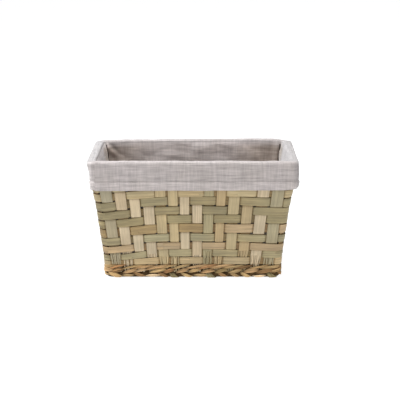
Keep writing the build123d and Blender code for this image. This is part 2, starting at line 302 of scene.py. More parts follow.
def attr(nt, name, out="Fac"):
    n = nt.nodes.new("ShaderNodeAttribute")
    n.attribute_name = name
    return n.outputs[out]


def ramp(nt, fac, lo, hi, to0=0.0, to1=1.0):
    n = nt.nodes.new("ShaderNodeMapRange")
    n.inputs["From Min"].default_value = lo
    n.inputs["From Max"].default_value = hi
    n.inputs["To Min"].default_value = to0
    n.inputs["To Max"].default_value = to1
    nt.links.new(fac, n.inputs["Value"])
    return n.outputs[0]


def noise_node(nt, vec, scale, detail=2.0, rough=0.55):
    n = nt.nodes.new("ShaderNodeTexNoise")
    n.noise_dimensions = '3D'
    n.inputs["Scale"].default_value = scale
    n.inputs["Detail"].default_value = detail
    n.inputs["Roughness"].default_value = rough
    nt.links.new(vec, n.inputs["Vector"])
    return n.outputs["Fac"]


def combine(nt, x, y, z):
    n = nt.nodes.new("ShaderNodeCombineXYZ")
    for i, v in enumerate((x, y, z)):
        if isinstance(v, (int, float)):
            n.inputs[i].default_value = v
        else:
            nt.links.new(v, n.inputs[i])
    return n.outputs[0]


def uv_xy(nt):
    u = nt.nodes.new("ShaderNodeUVMap")
    u.uv_map = "UVMap"
    s = nt.nodes.new("ShaderNodeSeparateXYZ")
    nt.links.new(u.outputs[0], s.inputs[0])
    return s.outputs[0], s.outputs[1]


def scale_color(nt, col, fac):
    n = nt.nodes.new("ShaderNodeVectorMath")
    n.operation = 'SCALE'
    nt.links.new(col, n.inputs[0])
    nt.links.new(fac, n.inputs["Scale"])
    return n.outputs[0]


def mix_color(nt, fac, a, b, blend='MIX'):
    n = nt.nodes.new("ShaderNodeMix")
    n.data_type = 'RGBA'
    n.blend_type = blend
    if isinstance(fac, (int, float)):
        n.inputs[0].default_value = fac
    else:
        nt.links.new(fac, n.inputs[0])
    for i, v in ((6, a), (7, b)):
        if isinstance(v, (tuple, list, np.ndarray)):
            n.inputs[i].default_value = (*[float(q) for q in v[:3]], 1.0)
        else:
            nt.links.new(v, n.inputs[i])
    return n.outputs[2]


def leaf_material(name, rough=0.52, dark=(0.12, 0.07, 0.03), streak=1.0, gain=1.0, gloss=0.42):
    """Dried leaf strip: lengthwise fibres, blotches, darker edges (partly dry leaf, partly painted shade between
    strips).
    """
    m, nt, b = new_mat(name)
    x, y = uv_xy(nt)
    seed = attr(nt, "seed")
    z = math_node(nt, 'MULTIPLY', seed, 7.31)
    fine = noise_node(nt, combine(nt, math_node(nt, 'MULTIPLY', x, 1700.0), math_node(nt, 'MULTIPLY', y, 26.0), z), 1.0, 3.0, 0.6)
    coarse = noise_node(nt, combine(nt, math_node(nt, 'MULTIPLY', x, 420.0), math_node(nt, 'MULTIPLY', y, 9.0), z), 1.0, 2.0)
    blot = noise_node(nt, combine(nt, math_node(nt, 'MULTIPLY', x, 70.0), math_node(nt, 'MULTIPLY', y, 45.0), z), 1.0, 3.0)
    base = attr(nt, "tint", "Color")
    f = math_node(nt, 'ADD', ramp(nt, fine, 0.28, 0.72, 1 - 0.20 * streak, 1 + 0.16 * streak),
                  ramp(nt, coarse, 0.25, 0.75, -0.17 * streak, 0.16 * streak))
    f = math_node(nt, 'MULTIPLY', f, ramp(nt, blot, 0.3, 0.7, 0.93 * gain, 1.07 * gain))
    col = scale_color(nt, base, f)
    # brownish flecks along the fibres
    fleck = noise_node(nt, combine(nt, math_node(nt, 'MULTIPLY', x, 900.0), math_node(nt, 'MULTIPLY', y, 60.0), math_node(nt, 'ADD', z, 31.0)), 1.0, 2.0)
    fl = ramp(nt, fleck, 0.66, 0.80, 0.0, 0.45)
    col = mix_color(nt, fl, col, scale_color(nt, base, ramp(nt, fleck, 0, 1, 0.55, 0.62)))
    # darker edges: partly dry leaf, partly painted shade for the dark lines between strips
    e = ramp(nt, attr(nt, "edge"), 0.92, 1.0, 0.0, 0.55)
    col = mix_color(nt, e, col, dark)
    nt.links.new(col, b.inputs["Base Color"])
    r = ramp(nt, coarse, 0.2, 0.8, rough - 0.08, rough + 0.12)
    nt.links.new(r, b.inputs["Roughness"])
    b.inputs["Specular IOR Level"].default_value = gloss
    hgt = math_node(nt, 'ADD', math_node(nt, 'MULTIPLY', fine, 0.6), math_node(nt, 'MULTIPLY', coarse, 0.8))
    bump = nt.nodes.new("ShaderNodeBump")
    bump.inputs["Strength"].default_value = 0.55
    bump.inputs["Distance"].default_value = 0.00035
    nt.links.new(hgt, bump.inputs["Height"])
    nt.links.new(bump.outputs[0], b.inputs["Normal"])
    return m


leaf_mat = leaf_material("leaf_strip", gain=0.98)
leaf_weave_mat = leaf_material("leaf_weaver", streak=1.45, gain=0.97)
leaf_foot_mat = leaf_material("leaf_foot", rough=0.70, streak=1.7, gloss=0.12)
leaf_base_mat = leaf_material("leaf_base", rough=0.6, streak=1.0)

# ------------------------------------------------------------------ stake layout
# left and right edges of the front stakes, as plaited by hand
FRONT = [(-126.3, -110.2), (-107.0, -91.7), (-88.1, -73.3), (-69.5, -54.2), (-52.0, -37.3), (-33.9, -20.7), (-18.3, -4.8),
         (-0.7, 13.4), (15.2, 29.0), (32.8, 45.2), (49.8, 64.9), (69.3, 84.2), (88.2, 104.7), (108.4, 125.1)]
cells = [-128.0] + [(FRONT[q][1] + FRONT[q + 1][0]) / 2 for q in range(13)] + [126.9]


def fill(start, end, n, seed):
    r = np.random.default_rng(seed)
    w = 1 + 0.07 * r.uniform(-1, 1, n)
    return list(start + (end - start) * np.cumsum(w) / w.sum())


end_u = cells[0] + PER
corner_w = 14.3
side_w = 2 * FY + 2.4
cells += [cells[14] + corner_w]
cells += fill(cells[-1], cells[-1] + side_w, 8, 3)
cells += [cells[-1] + corner_w]
cells += fill(cells[-1], end_u - 2 * corner_w - side_w, 14, 5)
cells += [cells[-1] + corner_w]
cells += fill(cells[-1], cells[-1] + side_w, 8, 7)
cells += [end_u]
cells = np.array(cells)          # 49 limits: stake cell q lies between q and q + 1
NST = 48
# cell 0 is the first front stake; the twill counts from the front-left corner stake
JN = lambda q: (q + 1) % NST
STAKE_GAP = 3.3 + 0.9 * rng.uniform(-1, 1, NST)
CORNER_CELLS = (14, 23, 38, 47)
ZTOP = 171.0


def outside(j, i):
    """True where the weaver of row i passes over stake j.  The rows all pass over the corner stakes."""
    return j in (0, 15, 24, 39) or (j + i) % 4 in (3, 0)


# Row heights along the front, (distance, height): nearly level, sinking to the front-left corner.
ROW_Z = [
    [(-130, 21.6), (-86, 25.0), (-50, 26.7), (0, 27.0), (72, 26.7), (130, 25.6)],
    [(-130, 30.2), (-99, 32.3), (-71, 36.6), (-30, 38.3), (0, 38.8), (61, 38.4), (109, 36.3), (130, 35.8)],
    [(-130, 41.6), (-87, 46.2), (-45, 49.2), (0, 50.0), (60, 49.2), (86, 48.5), (118, 46.9), (130, 46.5)],
    [(-130, 54.4), (-118, 55.8), (-68, 60.4), (-41, 62.0), (0, 62.4), (72, 61.7), (99, 60.7), (130, 60.3)],
    [(-130, 67.2), (-87, 72.4), (-55, 75.4), (0, 76.6), (62, 76.3), (84, 76.0), (130, 75.0)],
    [(-130, 80.4), (-107, 83.2), (-72, 88.0), (-35, 90.0), (0, 90.7), (61, 90.6), (117, 89.8), (130, 89.4)],
    [(-130, 93.4), (-96, 97.2), (-49, 102.7), (0, 103.6), (90, 102.4), (130, 101.8)],
    [(-130, 107.2), (-100, 111.2), (-72, 115.3), (-41, 117.1), (0, 118.0), (71, 116.9), (107, 116.4), (130, 114.6)],
    [(-130, 120.6), (-76, 127.0), (0, 130.3), (80, 129.8), (130, 127.8)],
    [(-130, 134.2), (-60, 140.6), (0, 143.0), (130, 141.0)],
    [(-130, 147.0), (-60, 153.4), (0, 155.4), (130, 154.0)],
]
_ug = np.arange(0, 830) / 830.0 * PER + cells[0]
ROW_TAB = []
for _i in range(len(ROWZ)):
    _k = ROW_Z[_i]
    _nom = ROWZ[_i]
    _us = [cells[0]] + [q[0] for q in _k[1:]] + [190.0, 480.0, 560.0, cells[0] + PER]
    _zs = [_k[0][1]] + [q[1] for q in _k[1:]] + [_nom - 0.2, _nom, _nom - 0.4, _k[0][1]]
    _t = np.interp(_ug, _us, _zs)
    _w = np.exp(-(np.arange(-24, 25) / 9.0) ** 2)
    _w /= _w.sum()
    ROW_TAB.append(np.convolve(np.concatenate([_t[-24:], _t, _t[:24]]), _w, mode="valid"))


def row_z(i, u):
    """Middle height of row i at u."""
    x = np.mod(np.asarray(u, float) - cells[0], PER) / PER * 830.0
    t = ROW_TAB[i]
    k = np.floor(x).astype(int)
    f = x - k
    z = t[k % 830] * (1 - f) + t[(k + 1) % 830] * f
    w = 0.4 * ring_noise(u, 55.0, 40 + i) + 0.3 * ring_noise(u, 21.0, 80 + i)
    return z + w * (0.4 + 0.6 * smooth(ROWZ[i], 20, 60))


def row_w(i, u):
    um = np.mod(u + PER / 2, PER) - PER / 2
    left = smooth(-um, 40, 120) * (1 - smooth(-um, 150, 260))
    w = ROWW[i] + 0.55 + 0.35 * ring_noise(u, 38.0, 120 + i) + (0.8 if i in (4, 7) else 0.0)
    return w * (1 - left * (0.22 if i < 2 else 0.06))


def row_gap_z(i, u):
    """Height of the gap between rows i and i + 1."""
    return ((row_z(i, u) + row_w(i, u) / 2) + (row_z(i + 1, u) - row_w(i + 1, u) / 2)) / 2


AMP = 0.90


def stake_n(q, z, u):
    j = JN(q)
    s = [(-1.0 if outside(j, i) else 1.0) for i in range(len(ROWZ))]
    n = np.full(np.shape(z), s[0])
    for i in range(len(ROWZ) - 1):
        if s[i + 1] != s[i]:
            n = n + (s[i + 1] - s[i]) / 2 * (1 + np.tanh((z - row_gap_z(i, u)) / 1.25))
    return n * AMP


def weaver_n(i, u):
    """Offset of weaver i at u."""
    um = np.mod(u - cells[0], PER) + cells[0]
    n = np.full(np.shape(um), 1.0 if outside(JN(0), i) else -1.0)
    for q in range(NST):
        a = 1.0 if outside(JN(q), i) else -1.0
        b = 1.0 if outside(JN((q + 1) % NST), i) else -1.0
        if a != b:
            if q < NST - 1:
                n = n + (b - a) / 2 * (1 + np.tanh((um - cells[q + 1]) / 1.35))
            else:
                n = n + (b - a) / 2 * (1 + np.tanh((um - cells[NST]) / 1.35)) + (b - a) / 2 * (1 + np.tanh((um - cells[0]) / 1.35)) - (b - a)
    return n * AMP


FRONT_TONES = ["greygreen", "beige", "pale", "beige", "straw", "straw", "pale", "beige", "sage", "tan", "straw", "tan", "beige", "greygreen"]
OTHER = ["beige", "straw", "pale", "tan", "greygreen", "beige", "sage", "pink", "pale", "straw"]
ROW_TONES = ["tan", "sage", "pink", "sage", "gold", "moss", "olive", "olive", "straw", "sage", "tan"]


def tone(names, k):
    return LEAF[names[k % len(names)]]


def stake_tone(q):
    if q < 14:
        return LEAF[FRONT_TONES[q]]
    if q == 14:
        return LEAF["tan"]
    if q == NST - 1:
        return LEAF["brown"]
    return LEAF[OTHER[int(rng.integers(len(OTHER)))]]


stake_tones = [stake_tone(q) for q in range(NST)]
stake_tones[13] = stake_tones[13] * np.array([0.88, 0.86, 0.79])
stake_tones[0] = stake_tones[0] * np.array([0.95, 0.94, 0.92])
stake_tones[11] = stake_tones[11] * 0.92


def stake_centre(q, z):
    w = 0.35 * noise(z / 46.0, q * 3.7, 11)
    c = sum(FRONT[q]) / 2 if q < 14 else (cells[q] + cells[q + 1]) / 2
    return c + w


def stake_width(q, z):
    base = FRONT[q][1] - FRONT[q][0] if q < 14 else (cells[q + 1] - cells[q]) - STAKE_GAP[q]
    return base * (1 + 0.025 * noise(z / 30.0, q * 2.1, 12))


def wall_scale(u, z):
    """Real length of a unit of u at height z on the flats."""
    return (A(z) - RC) / FX


def stake_frame(uc, z, n):
    P, N = wall(uc, z, n)
    Pa, _ = wall(uc - 0.5, z, n)
    Pb, _ = wall(uc + 0.5, z, n)
    S = Pb - Pa
    S /= np.linalg.norm(S, axis=-1, keepdims=True)
    return P, N, S


def curved_ribbon(bld, uc, z, n, w, t, tint, seed, crown=0.12, k=9):
    """A strip that runs up the wall and follows its curve across its width."""
    m = len(z)
    s = np.sin(np.linspace(-1, 1, k) * math.pi / 2 * 0.94) / math.sin(math.pi / 2 * 0.94)
    prof = np.sqrt(np.clip(1 - np.abs(s) ** 7, 0.03, 1))
    ss = np.concatenate([s, s[::-1]])
    hh = np.concatenate([prof, -prof[::-1]])
    c = len(ss)
    w = np.broadcast_to(w, (m,))
    n = np.broadcast_to(n, (m,))
    U = uc[:, None] + (w[:, None] / 2) * ss[None]
    Z = np.repeat(z[:, None], c, axis=1)
    NN = n[:, None] + (t / 2) * hh[None] + crown * (1 - ss[None] ** 2)
    P, _ = wall(U, Z, NN)
    L = np.concatenate([[0], np.cumsum(np.abs(np.diff(z)))])
    faces, uvs = [], []
    for i in range(m - 1):
        j = i + 1
        for q in range(c):
            r = (q + 1) % c
            faces.append([i * c + q, i * c + r, j * c + r, j * c + q])
            uvs += [(ss[q] * w[i] / 2, L[i]), (ss[r] * w[i] / 2, L[i]), (ss[r] * w[j] / 2, L[j]), (ss[q] * w[j] / 2, L[j])]
    for i, flip in ((0, True), (m - 1, False)):
        for q in range(k - 1):
            quad = [i * c + q, i * c + q + 1, i * c + c - 2 - q, i * c + c - 1 - q]
            faces.append(quad[::-1] if flip else quad)
            uvs += [(0.0, L[i])] * 4
    bld.add(P.reshape(-1, 3), faces, np.array(uvs), np.repeat(tint, c, axis=0), np.tile(np.abs(ss), m), seed)


def painted_under_shade(n):
    """Painted shade: leaf where it runs behind other strips is darkened and warmed."""
    k = smooth(n, -0.9 * AMP, -0.05 * AMP)[..., None]
    return np.array([0.60, 0.51, 0.37]) * (1 - k) + k


def build_stakes():
    groups = {"front": range(0, 14), "right": range(15, 23), "back": range(24, 38), "left": range(39, 47),
              "corner": (14, 23, 38, 47)}
    for g, ids in groups.items():
        bld = Build()
        for q in ids:
            r = np.random.default_rng(500 + q)
            split = float(r.uniform(35.5, 45.0))
            z = np.arange(split - 2.5, ZTOP + 0.01, 1.15)
            uc = stake_centre(q, z)
            n = stake_n(q, z, uc)
            w = stake_width(q, z)
            col = mixc(stake_tones[q], noise(z / 24.0, q, 21) + 0.35 * noise(z / 6.0, q, 22), noise(z / 40.0, q, 23))
            col = col * painted_under_shade(n)
            curved_ribbon(bld, uc, z, n, w, 0.9, col, q * 1.37)
            # below the split the leaf is torn into strands
            ns = int(r.integers(4, 7))
            cut = np.sort(r.uniform(-1, 1, ns - 1) * 0.14 + np.linspace(-1, 1, ns + 1)[1:-1])
            lim = np.concatenate([[-1], cut, [1]])
            zz = np.arange(8.0, split + 1.0, 1.1)
            for k in range(ns):
                mid, wd = (lim[k] + lim[k + 1]) / 2, (lim[k + 1] - lim[k]) / 2
                open_ = smooth(split - zz, 0, 16)
                W = stake_width(q, zz)
                drift = r.uniform(-0.7, 0.7)
                uu = stake_centre(q, zz) + W / 2 * mid * (1 - 0.10 * open_) + open_ * (drift + 0.6 * noise(zz / 9.0, k + 13 * q, 31))
                ww = np.maximum(W * wd * (1 - 0.30 * open_ * r.uniform(0.5, 1.4)), 0.9)
                nn = stake_n(q, zz, uu) - 0.03 + open_ * (0.25 * r.uniform(-1, 1) + 0.2 * noise(zz / 7.0, k + 5 * q, 32))
                tuck = smooth(zz, 18.5, 24.0)
                nn = np.maximum(nn * tuck - 1.1 * (1 - tuck), -1.6)
                cc = mixc(stake_tones[q] * r.uniform(0.86, 1.1), noise(zz / 9.0, k + q, 33), noise(zz / 20.0, k + q, 34))
                curved_ribbon(bld, uu, zz, nn, ww, 0.7, cc, q * 1.37 + k * 0.31 + 0.5, crown=0.08, k=5)
        node = "stakes_" + g
        bld.make(node + "_leaf", leaf_mat, "basket", "leaf_stake", [node])


def build_weavers():
    for i in range(len(ROWZ)):
        bld = Build()
        m = 720
        u = cells[0] + np.arange(m) * PER / m
        z = row_z(i, u)
        w = row_w(i, u)
        n = weaver_n(i, u)
        k = 9
        s = np.sin(np.linspace(-1, 1, k) * math.pi / 2 * 0.94) / math.sin(math.pi / 2 * 0.94)
        prof = np.sqrt(np.clip(1 - np.abs(s) ** 7, 0.03, 1))
        ss = np.concatenate([s, s[::-1]])
        hh = np.concatenate([prof, -prof[::-1]])
        c = len(ss)
        tilt = 0.22 * ring_noise(u, 44.0, 160 + i)
        Z = z[:, None] + w[:, None] / 2 * ss[None]
        NN = n[:, None] + 0.42 * hh[None] + 0.14 * (1 - ss[None] ** 2) + (tilt[:, None] * ss[None])
        P, _ = wall(np.repeat(u[:, None], c, axis=1), Z, NN)
        L = np.arange(m + 1) * PER / m
        faces, uvs = [], []
        for a in range(m):
            b_ = (a + 1) % m
            for q in range(c):
                r_ = (q + 1) % c
                faces.append([a * c + r_, a * c + q, b_ * c + q, b_ * c + r_])
                sa, sb = ss[r_] * w[a] / 2, ss[q] * w[a] / 2
                uvs += [(sa, L[a]), (sb, L[a]), (sb, L[a + 1]), (sa, L[a + 1])]
        base = LEAF[ROW_TONES[i]]
        col = mixc(base, 1.0 * ring_noise(u, 70.0, 200 + i) + 0.8 * ring_noise(u, 17.0, 230 + i), 1.5 * ring_noise(u, 60.0, 260 + i))
        if i == 4:
            um = np.mod(u + PER / 2, PER) - PER / 2
            k_ = (smooth(um, 25, 60) * (1 - smooth(um, 150, 200)))[:, None]
            col = col * (1 - k_) + LEAF["pink"][None] * 1.03 * k_
        col = col * painted_under_shade(n)
        # painted shade: the rows are darkened and warmed where they turn round the front-left corner
        turn = np.exp(-((np.mod(u + PER / 2 + 137, PER) - PER / 2) / 8.5) ** 2)[:, None]
        col = col * (1 - turn * np.array([0.26, 0.28, 0.32]))
        bld.add(P.reshape(-1, 3), faces, np.array(uvs), np.repeat(col, c, axis=0), np.tile(np.abs(ss), m), 100 + i * 2.3)
        # spliced lengths: a second, narrower leaf laid along the row where a new one was started
        rs = np.random.default_rng(1700 + i)
        starts = list(rs.uniform(0, PER, 3) + cells[0])
        if i == 8:
            starts[0] = -92.0
        if i == 1:
            starts[0] = -140.0
        for q_, us_ in enumerate(starts):
            ln = 44.0 + 26.0 * rs.uniform()
            uu = np.arange(us_, us_ + ln, 1.1)
            t_ = (uu - us_) / ln
            side_ = -1 if (i == 8 and q_ == 0) else rs.choice([-1, 1])
            zz = row_z(i, uu) + side_ * row_w(i, uu) * 0.24 + 0.25 * noise(uu / 12.0, i, 171)
            nn = weaver_n(i, uu) + 0.52
            ww = row_w(i, uu) * 0.46 * np.sin(np.clip(t_ * 0.9 + 0.05, 0, 1) * math.pi) ** 0.22
            sc_ = mixc(base * rs.uniform(0.9, 1.14), noise(uu / 20.0, q_, 172), noise(uu / 40.0, q_, 173)) * painted_under_shade(nn - 0.5)
            Pq, Nq = wall(uu, zz, nn)
            Tq = np.gradient(Pq, axis=0)
            Tq /= np.linalg.norm(Tq, axis=1, keepdims=True)
            Sq = np.cross(Nq, Tq)
            Sq /= np.linalg.norm(Sq, axis=1, keepdims=True)
            bld.ribbon(Pq, np.cross(Tq, Sq), Sq, ww, t=0.5, crown=0.06, tint=sc_, seed=140 + i * 2.3 + q_, k=6)
        node = "weaver_row_%02d" % (i + 1)
        bld.make(node + "_leaf", leaf_weave_mat, "basket", "leaf_weaver", [node])


build_stakes()
build_weavers()

# ------------------------------------------------------------------ the foot plait
# Cross-section of the foot: h runs from the top edge down and under.
FOOT_H = np.array([0.0, 4.0, 9.0, 14.0, 18.5, 21.5, 24.0, 27.0, 30.5])
FOOT_N = np.array([0.0, 0.4, 0.9, 1.3, 1.4, 0.9, -0.3, -2.2, -4.2])
FOOT_Z = np.array([21.4, 17.6, 12.8, 7.9, 3.9, 2.3, 1.7, 1.7, 3.0])


def foot_surface(u, h, off):
    n = np.interp(h, FOOT_H, FOOT_N)
    z = np.interp(h, FOOT_H, FOOT_Z)
    e = 0.6
    dn = np.interp(h + e, FOOT_H, FOOT_N) - np.interp(h - e, FOOT_H, FOOT_N)
    dz = np.interp(h + e, FOOT_H, FOOT_Z) - np.interp(h - e, FOOT_H, FOOT_Z)
    l = np.hypot(dn, dz)
    nn, nz = -dz / l, dn / l
    P, N = wall(u, np.maximum(z + off * nz, 0.95), n + off * nn, bowed=False)
    Nv = N * nn[..., None]
    Nv[..., 2] += nz
    return P, Nv


def foot_strip(bld, u, h, off, w, t, tint, seed, crown=0.25, k=5, roll=0.0):
    P, N = foot_surface(u, h, off)
    T = np.gradient(P, axis=0)
    T /= np.linalg.norm(T, axis=1, keepdims=True)
    S = np.cross(N, T)
    S /= np.linalg.norm(S, axis=1, keepdims=True)
    N = np.cross(T, S)
    if np.any(roll):
        roll = np.broadcast_to(roll, (len(u),))
        c, s_ = np.cos(roll)[:, None], np.sin(roll)[:, None]
        S, N = S * c + N * s_, N * c - S * s_
    bld.ribbon(P, N, S, w, t=t, crown=crown, tint=tint, seed=seed, k=k)


def build_foot():
    up = {g: Build() for g in ("front", "right", "back", "left")}
    lo = {g: Build() for g in ("front", "right", "back", "left")}

    def side(u):
        v = np.mod(u + FX + LA, PER)
        lims = np.cumsum([2 * FX + LA * 1.5, 2 * FY + LA, 2 * FX + LA, 2 * FY + LA])
        return ("front", "right", "back", "left", "front")[int(np.searchsorted(lims, v))]

    def bundle(bld, u0, span, h0, h1, sag, wide, ns, base, seed, depth, fan=0.0, tail=0.0, steps=22, rise=0.92):
        """One stroke of the plait: a few folded strips side by side, thin at both ends and tucked in."""
        r = np.random.default_rng(int(seed * 10) + 7)
        for k in range(ns):
            s = np.linspace(0, 1, steps)
            f = (k - (ns - 1) / 2) / max(ns, 1)
            lens = 0.30 + 0.70 * np.sin(np.clip(s * 0.96 + 0.02, 0, 1) * math.pi) ** 0.75
            if fan:
                lens = 0.75 + 0.35 * s
            uu = u0 + span * s + f * fan * (0.7 + 0.6 * s)
            h = h0 + (h1 - h0) * s ** rise + sag * np.sin(s * math.pi)
            if not fan:
                h = h + f * wide * lens
            h = np.clip(h + 0.30 * noise(s * 3, seed + k * 0.37, 61), 0.2, 26)
            off = -1.5 + depth * np.sin(np.clip(s * (1.0 - tail) + 0.01, 0, 1) * math.pi) ** 0.55 + 0.14 * r.uniform(-1, 1) - 0.9 * f * f
            w = wide / ns * 1.28 * lens * r.uniform(0.88, 1.10)
            shade = 0.24 + 0.76 * np.sin(np.clip(s * 0.98 + 0.01, 0, 1) * math.pi) ** 0.55
            c = mixc(base * r.uniform(0.76, 1.18), noise(s * 5, seed + k, 62), noise(s * 2, seed + k, 63)) * shade[:, None]
            foot_strip(bld, uu, h, off, w, 0.75, c, seed + k * 0.17, crown=0.28, roll=-0.55 * f + 0.14 * r.uniform(-1, 1))

    warm = np.array([1.12, 0.98, 0.86])
    names_up = ["tan", "pink", "tan", "brown", "rust", "straw", "olive", "pink", "beige"]
    names_lo = ["pink", "tan", "brown", "rust", "beige", "tan"]
    # first layer: long slim strokes that rise to the right
    NA = 42
    for a in range(NA):
        r = np.random.default_rng(900 + a)
        u0 = cells[0] - 6.0 + a * PER / NA + r.uniform(-2.0, 2.0)
        g = side(u0 + 16)
        base = LEAF[names_up[int(r.integers(len(names_up)))]] * r.uniform(0.78, 1.12) * warm
        bundle(up[g], u0, 36.0 + r.uniform(-6, 8), 8.4 + r.uniform(-0.9, 1.0), 1.3 + r.uniform(-0.9, 1.5), -r.uniform(0.0, 1.0),
               3.5 + r.uniform(-0.6, 0.7), 2, base, a * 0.9, 2.3 + r.uniform(-0.3, 0.4))
    # second layer: short lens-shaped strokes
    NB = 40
    for a in range(NB):
        r = np.random.default_rng(2900 + a)
        u0 = cells[0] - 3.0 + a * PER / NB + r.uniform(-2.4, 2.4)
        g = side(u0 + 11)
        base = LEAF[names_up[int(r.integers(len(names_up)))]] * r.uniform(0.80, 1.18) * warm
        bundle(up[g], u0, 23.5 + r.uniform(-4, 6), 13.6 + r.uniform(-0.9, 0.9), 9.2 + r.uniform(-1.0, 1.2), -r.uniform(0.2, 1.3),
               4.7 + r.uniform(-0.8, 0.9), 2 if r.uniform() < 0.5 else 3, base, 60 + a * 0.9, 2.7 + r.uniform(-0.3, 0.4))
    # third layer: lozenges, slabs that fall to the right and grey-green tufts, in no strict order
    NC = 44
    for a in range(NC):
        r = np.random.default_rng(4900 + a)
        u0 = cells[0] - 4.0 + a * PER / NC + r.uniform(-2.0, 2.0)
        g = side(u0 + 9)
        pick = r.uniform()
        down = r.uniform(-0.8, 1.6)
        if pick < 0.46:
            # painted light: these tones are raised well above the other strokes to offset the shade on these
            # downward-facing lozenges
            base = LEAF[names_lo[int(r.integers(len(names_lo)))]] * r.uniform(1.10, 1.60) * np.array([1.05, 0.96, 0.90])
            bundle(lo[g], u0, 21.0 + r.uniform(-4, 6), 18.4 + down + r.uniform(-1, 1), 17.0 + down + r.uniform(-1.2, 1.2), r.uniform(-0.6, 0.8),
                   4.7 + r.uniform(-0.8, 0.8), 3, base, 120 + a * 0.9, 2.5 + r.uniform(-0.3, 0.4))
        elif pick < 0.72:
            base = LEAF[("tan", "brown", "straw", "pink")[int(r.integers(4))]] * r.uniform(0.95, 1.35) * warm
            bundle(lo[g], u0, 19.0 + r.uniform(-3, 4), 13.6 + r.uniform(-1, 1), 21.0 + down, r.uniform(-0.5, 0.5),
                   5.2 + r.uniform(-0.8, 0.8), 3, base, 120 + a * 0.9, 2.9 + r.uniform(-0.3, 0.3), rise=1.1)
        else:
            base = LEAF[("greygreen", "moss", "sage", "greygreen")[int(r.integers(4))]] * r.uniform(0.90, 1.25)
            bundle(lo[g], u0 + 5.0, 8.0 + r.uniform(-1.5, 2.0), 13.2 + r.uniform(-0.8, 0.8), 23.5 + down, 0.0,
                   9.0 + r.uniform(-1.2, 1.2), 5, base, 120 + a * 0.9, 2.6 + r.uniform(-0.2, 0.3), fan=11.0 + r.uniform(-2, 2), tail=0.38, steps=16, rise=1.0)
    for g in up:
        up[g].make("foot_plait_upper_%s_leaf" % g, leaf_foot_mat, "basket", "leaf_foot", ["foot_plait_upper_" + g])
        lo[g].make("foot_plait_lower_%s_leaf" % g, leaf_foot_mat, "basket", "leaf_foot", ["foot_plait_lower_" + g])


def rope_ring(name, nc, zc, rn, rz, strands, pitch, tone_names, node, seed, mat=None):
    """A closed ring of twisted leaf bundles round the wall at offset nc, height zc."""
    bld = Build()
    m = 640
    u = cells[0] + np.arange(m) * PER / m
    turns = round(PER / pitch)
    for k in range(strands):
        r = np.random.default_rng(seed + k)
        ph = 2 * math.pi * (k / strands + turns * np.arange(m) / m)
        nn = nc + rn * np.cos(ph)
        zz = zc + rz * np.sin(ph)
        P, Nw = wall(u, zz, nn, bowed=False)
        Nv = Nw * np.cos(ph)[:, None]
        Nv[:, 2] += np.sin(ph)
        T = np.roll(P, -1, axis=0) - np.roll(P, 1, axis=0)
        T /= np.linalg.norm(T, axis=1, keepdims=True)
        S = np.cross(Nv, T)
        S /= np.linalg.norm(S, axis=1, keepdims=True)
        Nv = np.cross(T, S)
        # painted shade: these strands are seen only through gaps in the plait and are coloured nearly black to stand in
        # for the deep shade there
        c = mixc(LEAF[tone_names[k % len(tone_names)]] * r.uniform(0.16, 0.26) * np.array([1.1, 0.85, 0.6]), ring_noise(u, 30.0, seed + k), ring_noise(u, 60.0, seed + 50 + k))
        w = 2 * math.pi * math.sqrt(rn * rz) / strands * 1.25 + 0.25 * ring_noise(u, 17.0, seed + 90 + k)
        bld.ribbon(P, Nv, S, w, t=0.7, crown=0.3, tint=c, seed=seed + k * 0.7, closed=True, k=5)
    return bld.make(name, mat or leaf_foot_mat, "basket", "leaf_foot", [node])


build_foot()
rope_ring("foot_core_ring_leaf", -1.9, 5.1, 2.2, 3.6, 10, 34.0, ["brown", "olive", "pink", "tan"], "foot_core_ring", 700)
rope_ring("foot_inner_strand_leaf", -2.5, 14.0, 0.9, 5.2, 8, 30.0, ["tan", "olive", "brown", "pink"], "foot_inner_strand", 740)


# ------------------------------------------------------------------ the base
def build_base():
    lo, hi = bx("base_strips_long")
    clo, chi = bx("base_strips_cross")
    zmid = (lo[2] + hi[2]) / 2
    nl, nc, pitch, wid = 8, 16, 15.0, 12.6
    ys = [(i - (nl - 1) / 2) * pitch for i in range(nl)]
    xs = [(i - (nc - 1) / 2) * pitch for i in range(nc)]
    reach = {"long": hi[0], "cross": chi[1]}
    sum_lim = (A0 + B0 - 9.0 + 2 * K * 8.1) - 7.0 * math.sqrt(2)
    for kind, cs, others in (("long", ys, xs), ("cross", xs, ys)):
        bld = Build()
        for idx, c in enumerate(cs):
            r = np.random.default_rng(1200 + idx + (50 if kind == "cross" else 0))
            L = min(reach[kind], sum_lim - abs(c) - wid / 2)
            a = np.linspace(-L, L, int(2 * L / 1.6))
            sg = np.array([(1.0 if ((m + idx) % 4 in (0, 1)) == (kind == "long") else -1.0) for m in range(len(others))])
            n = np.full(len(a), sg[0])
            for m in range(len(others) - 1):
                n += (sg[m + 1] - sg[m]) / 2 * (1 + np.tanh((a - (others[m] + others[m + 1]) / 2) / 1.3))
            z = zmid + 0.5 * n
            cc = c + 0.4 * noise(a / 50, idx, 71)
            P = np.stack([a, cc, z] if kind == "long" else [cc, a, z], axis=1)
            N = np.tile([0, 0, 1.0], (len(a), 1))
            S = np.tile([0, 1.0, 0] if kind == "long" else [1.0, 0, 0], (len(a), 1))
            if kind == "cross":
                S = -S
            tn = LEAF[OTHER[int(r.integers(len(OTHER)))]] * 0.95
            col = mixc(tn, noise(a / 24.0, idx, 72), noise(a / 60.0, idx, 73))
            bld.ribbon(P, N, S, wid + 0.7, t=0.75, crown=0.05, tint=col, seed=idx * 1.9 + (40 if kind == "cross" else 0), k=7)
        bld.make("base_strips_%s_leaf" % kind, leaf_base_mat, "basket", "leaf_base", ["base_strips_" + kind])


build_base()

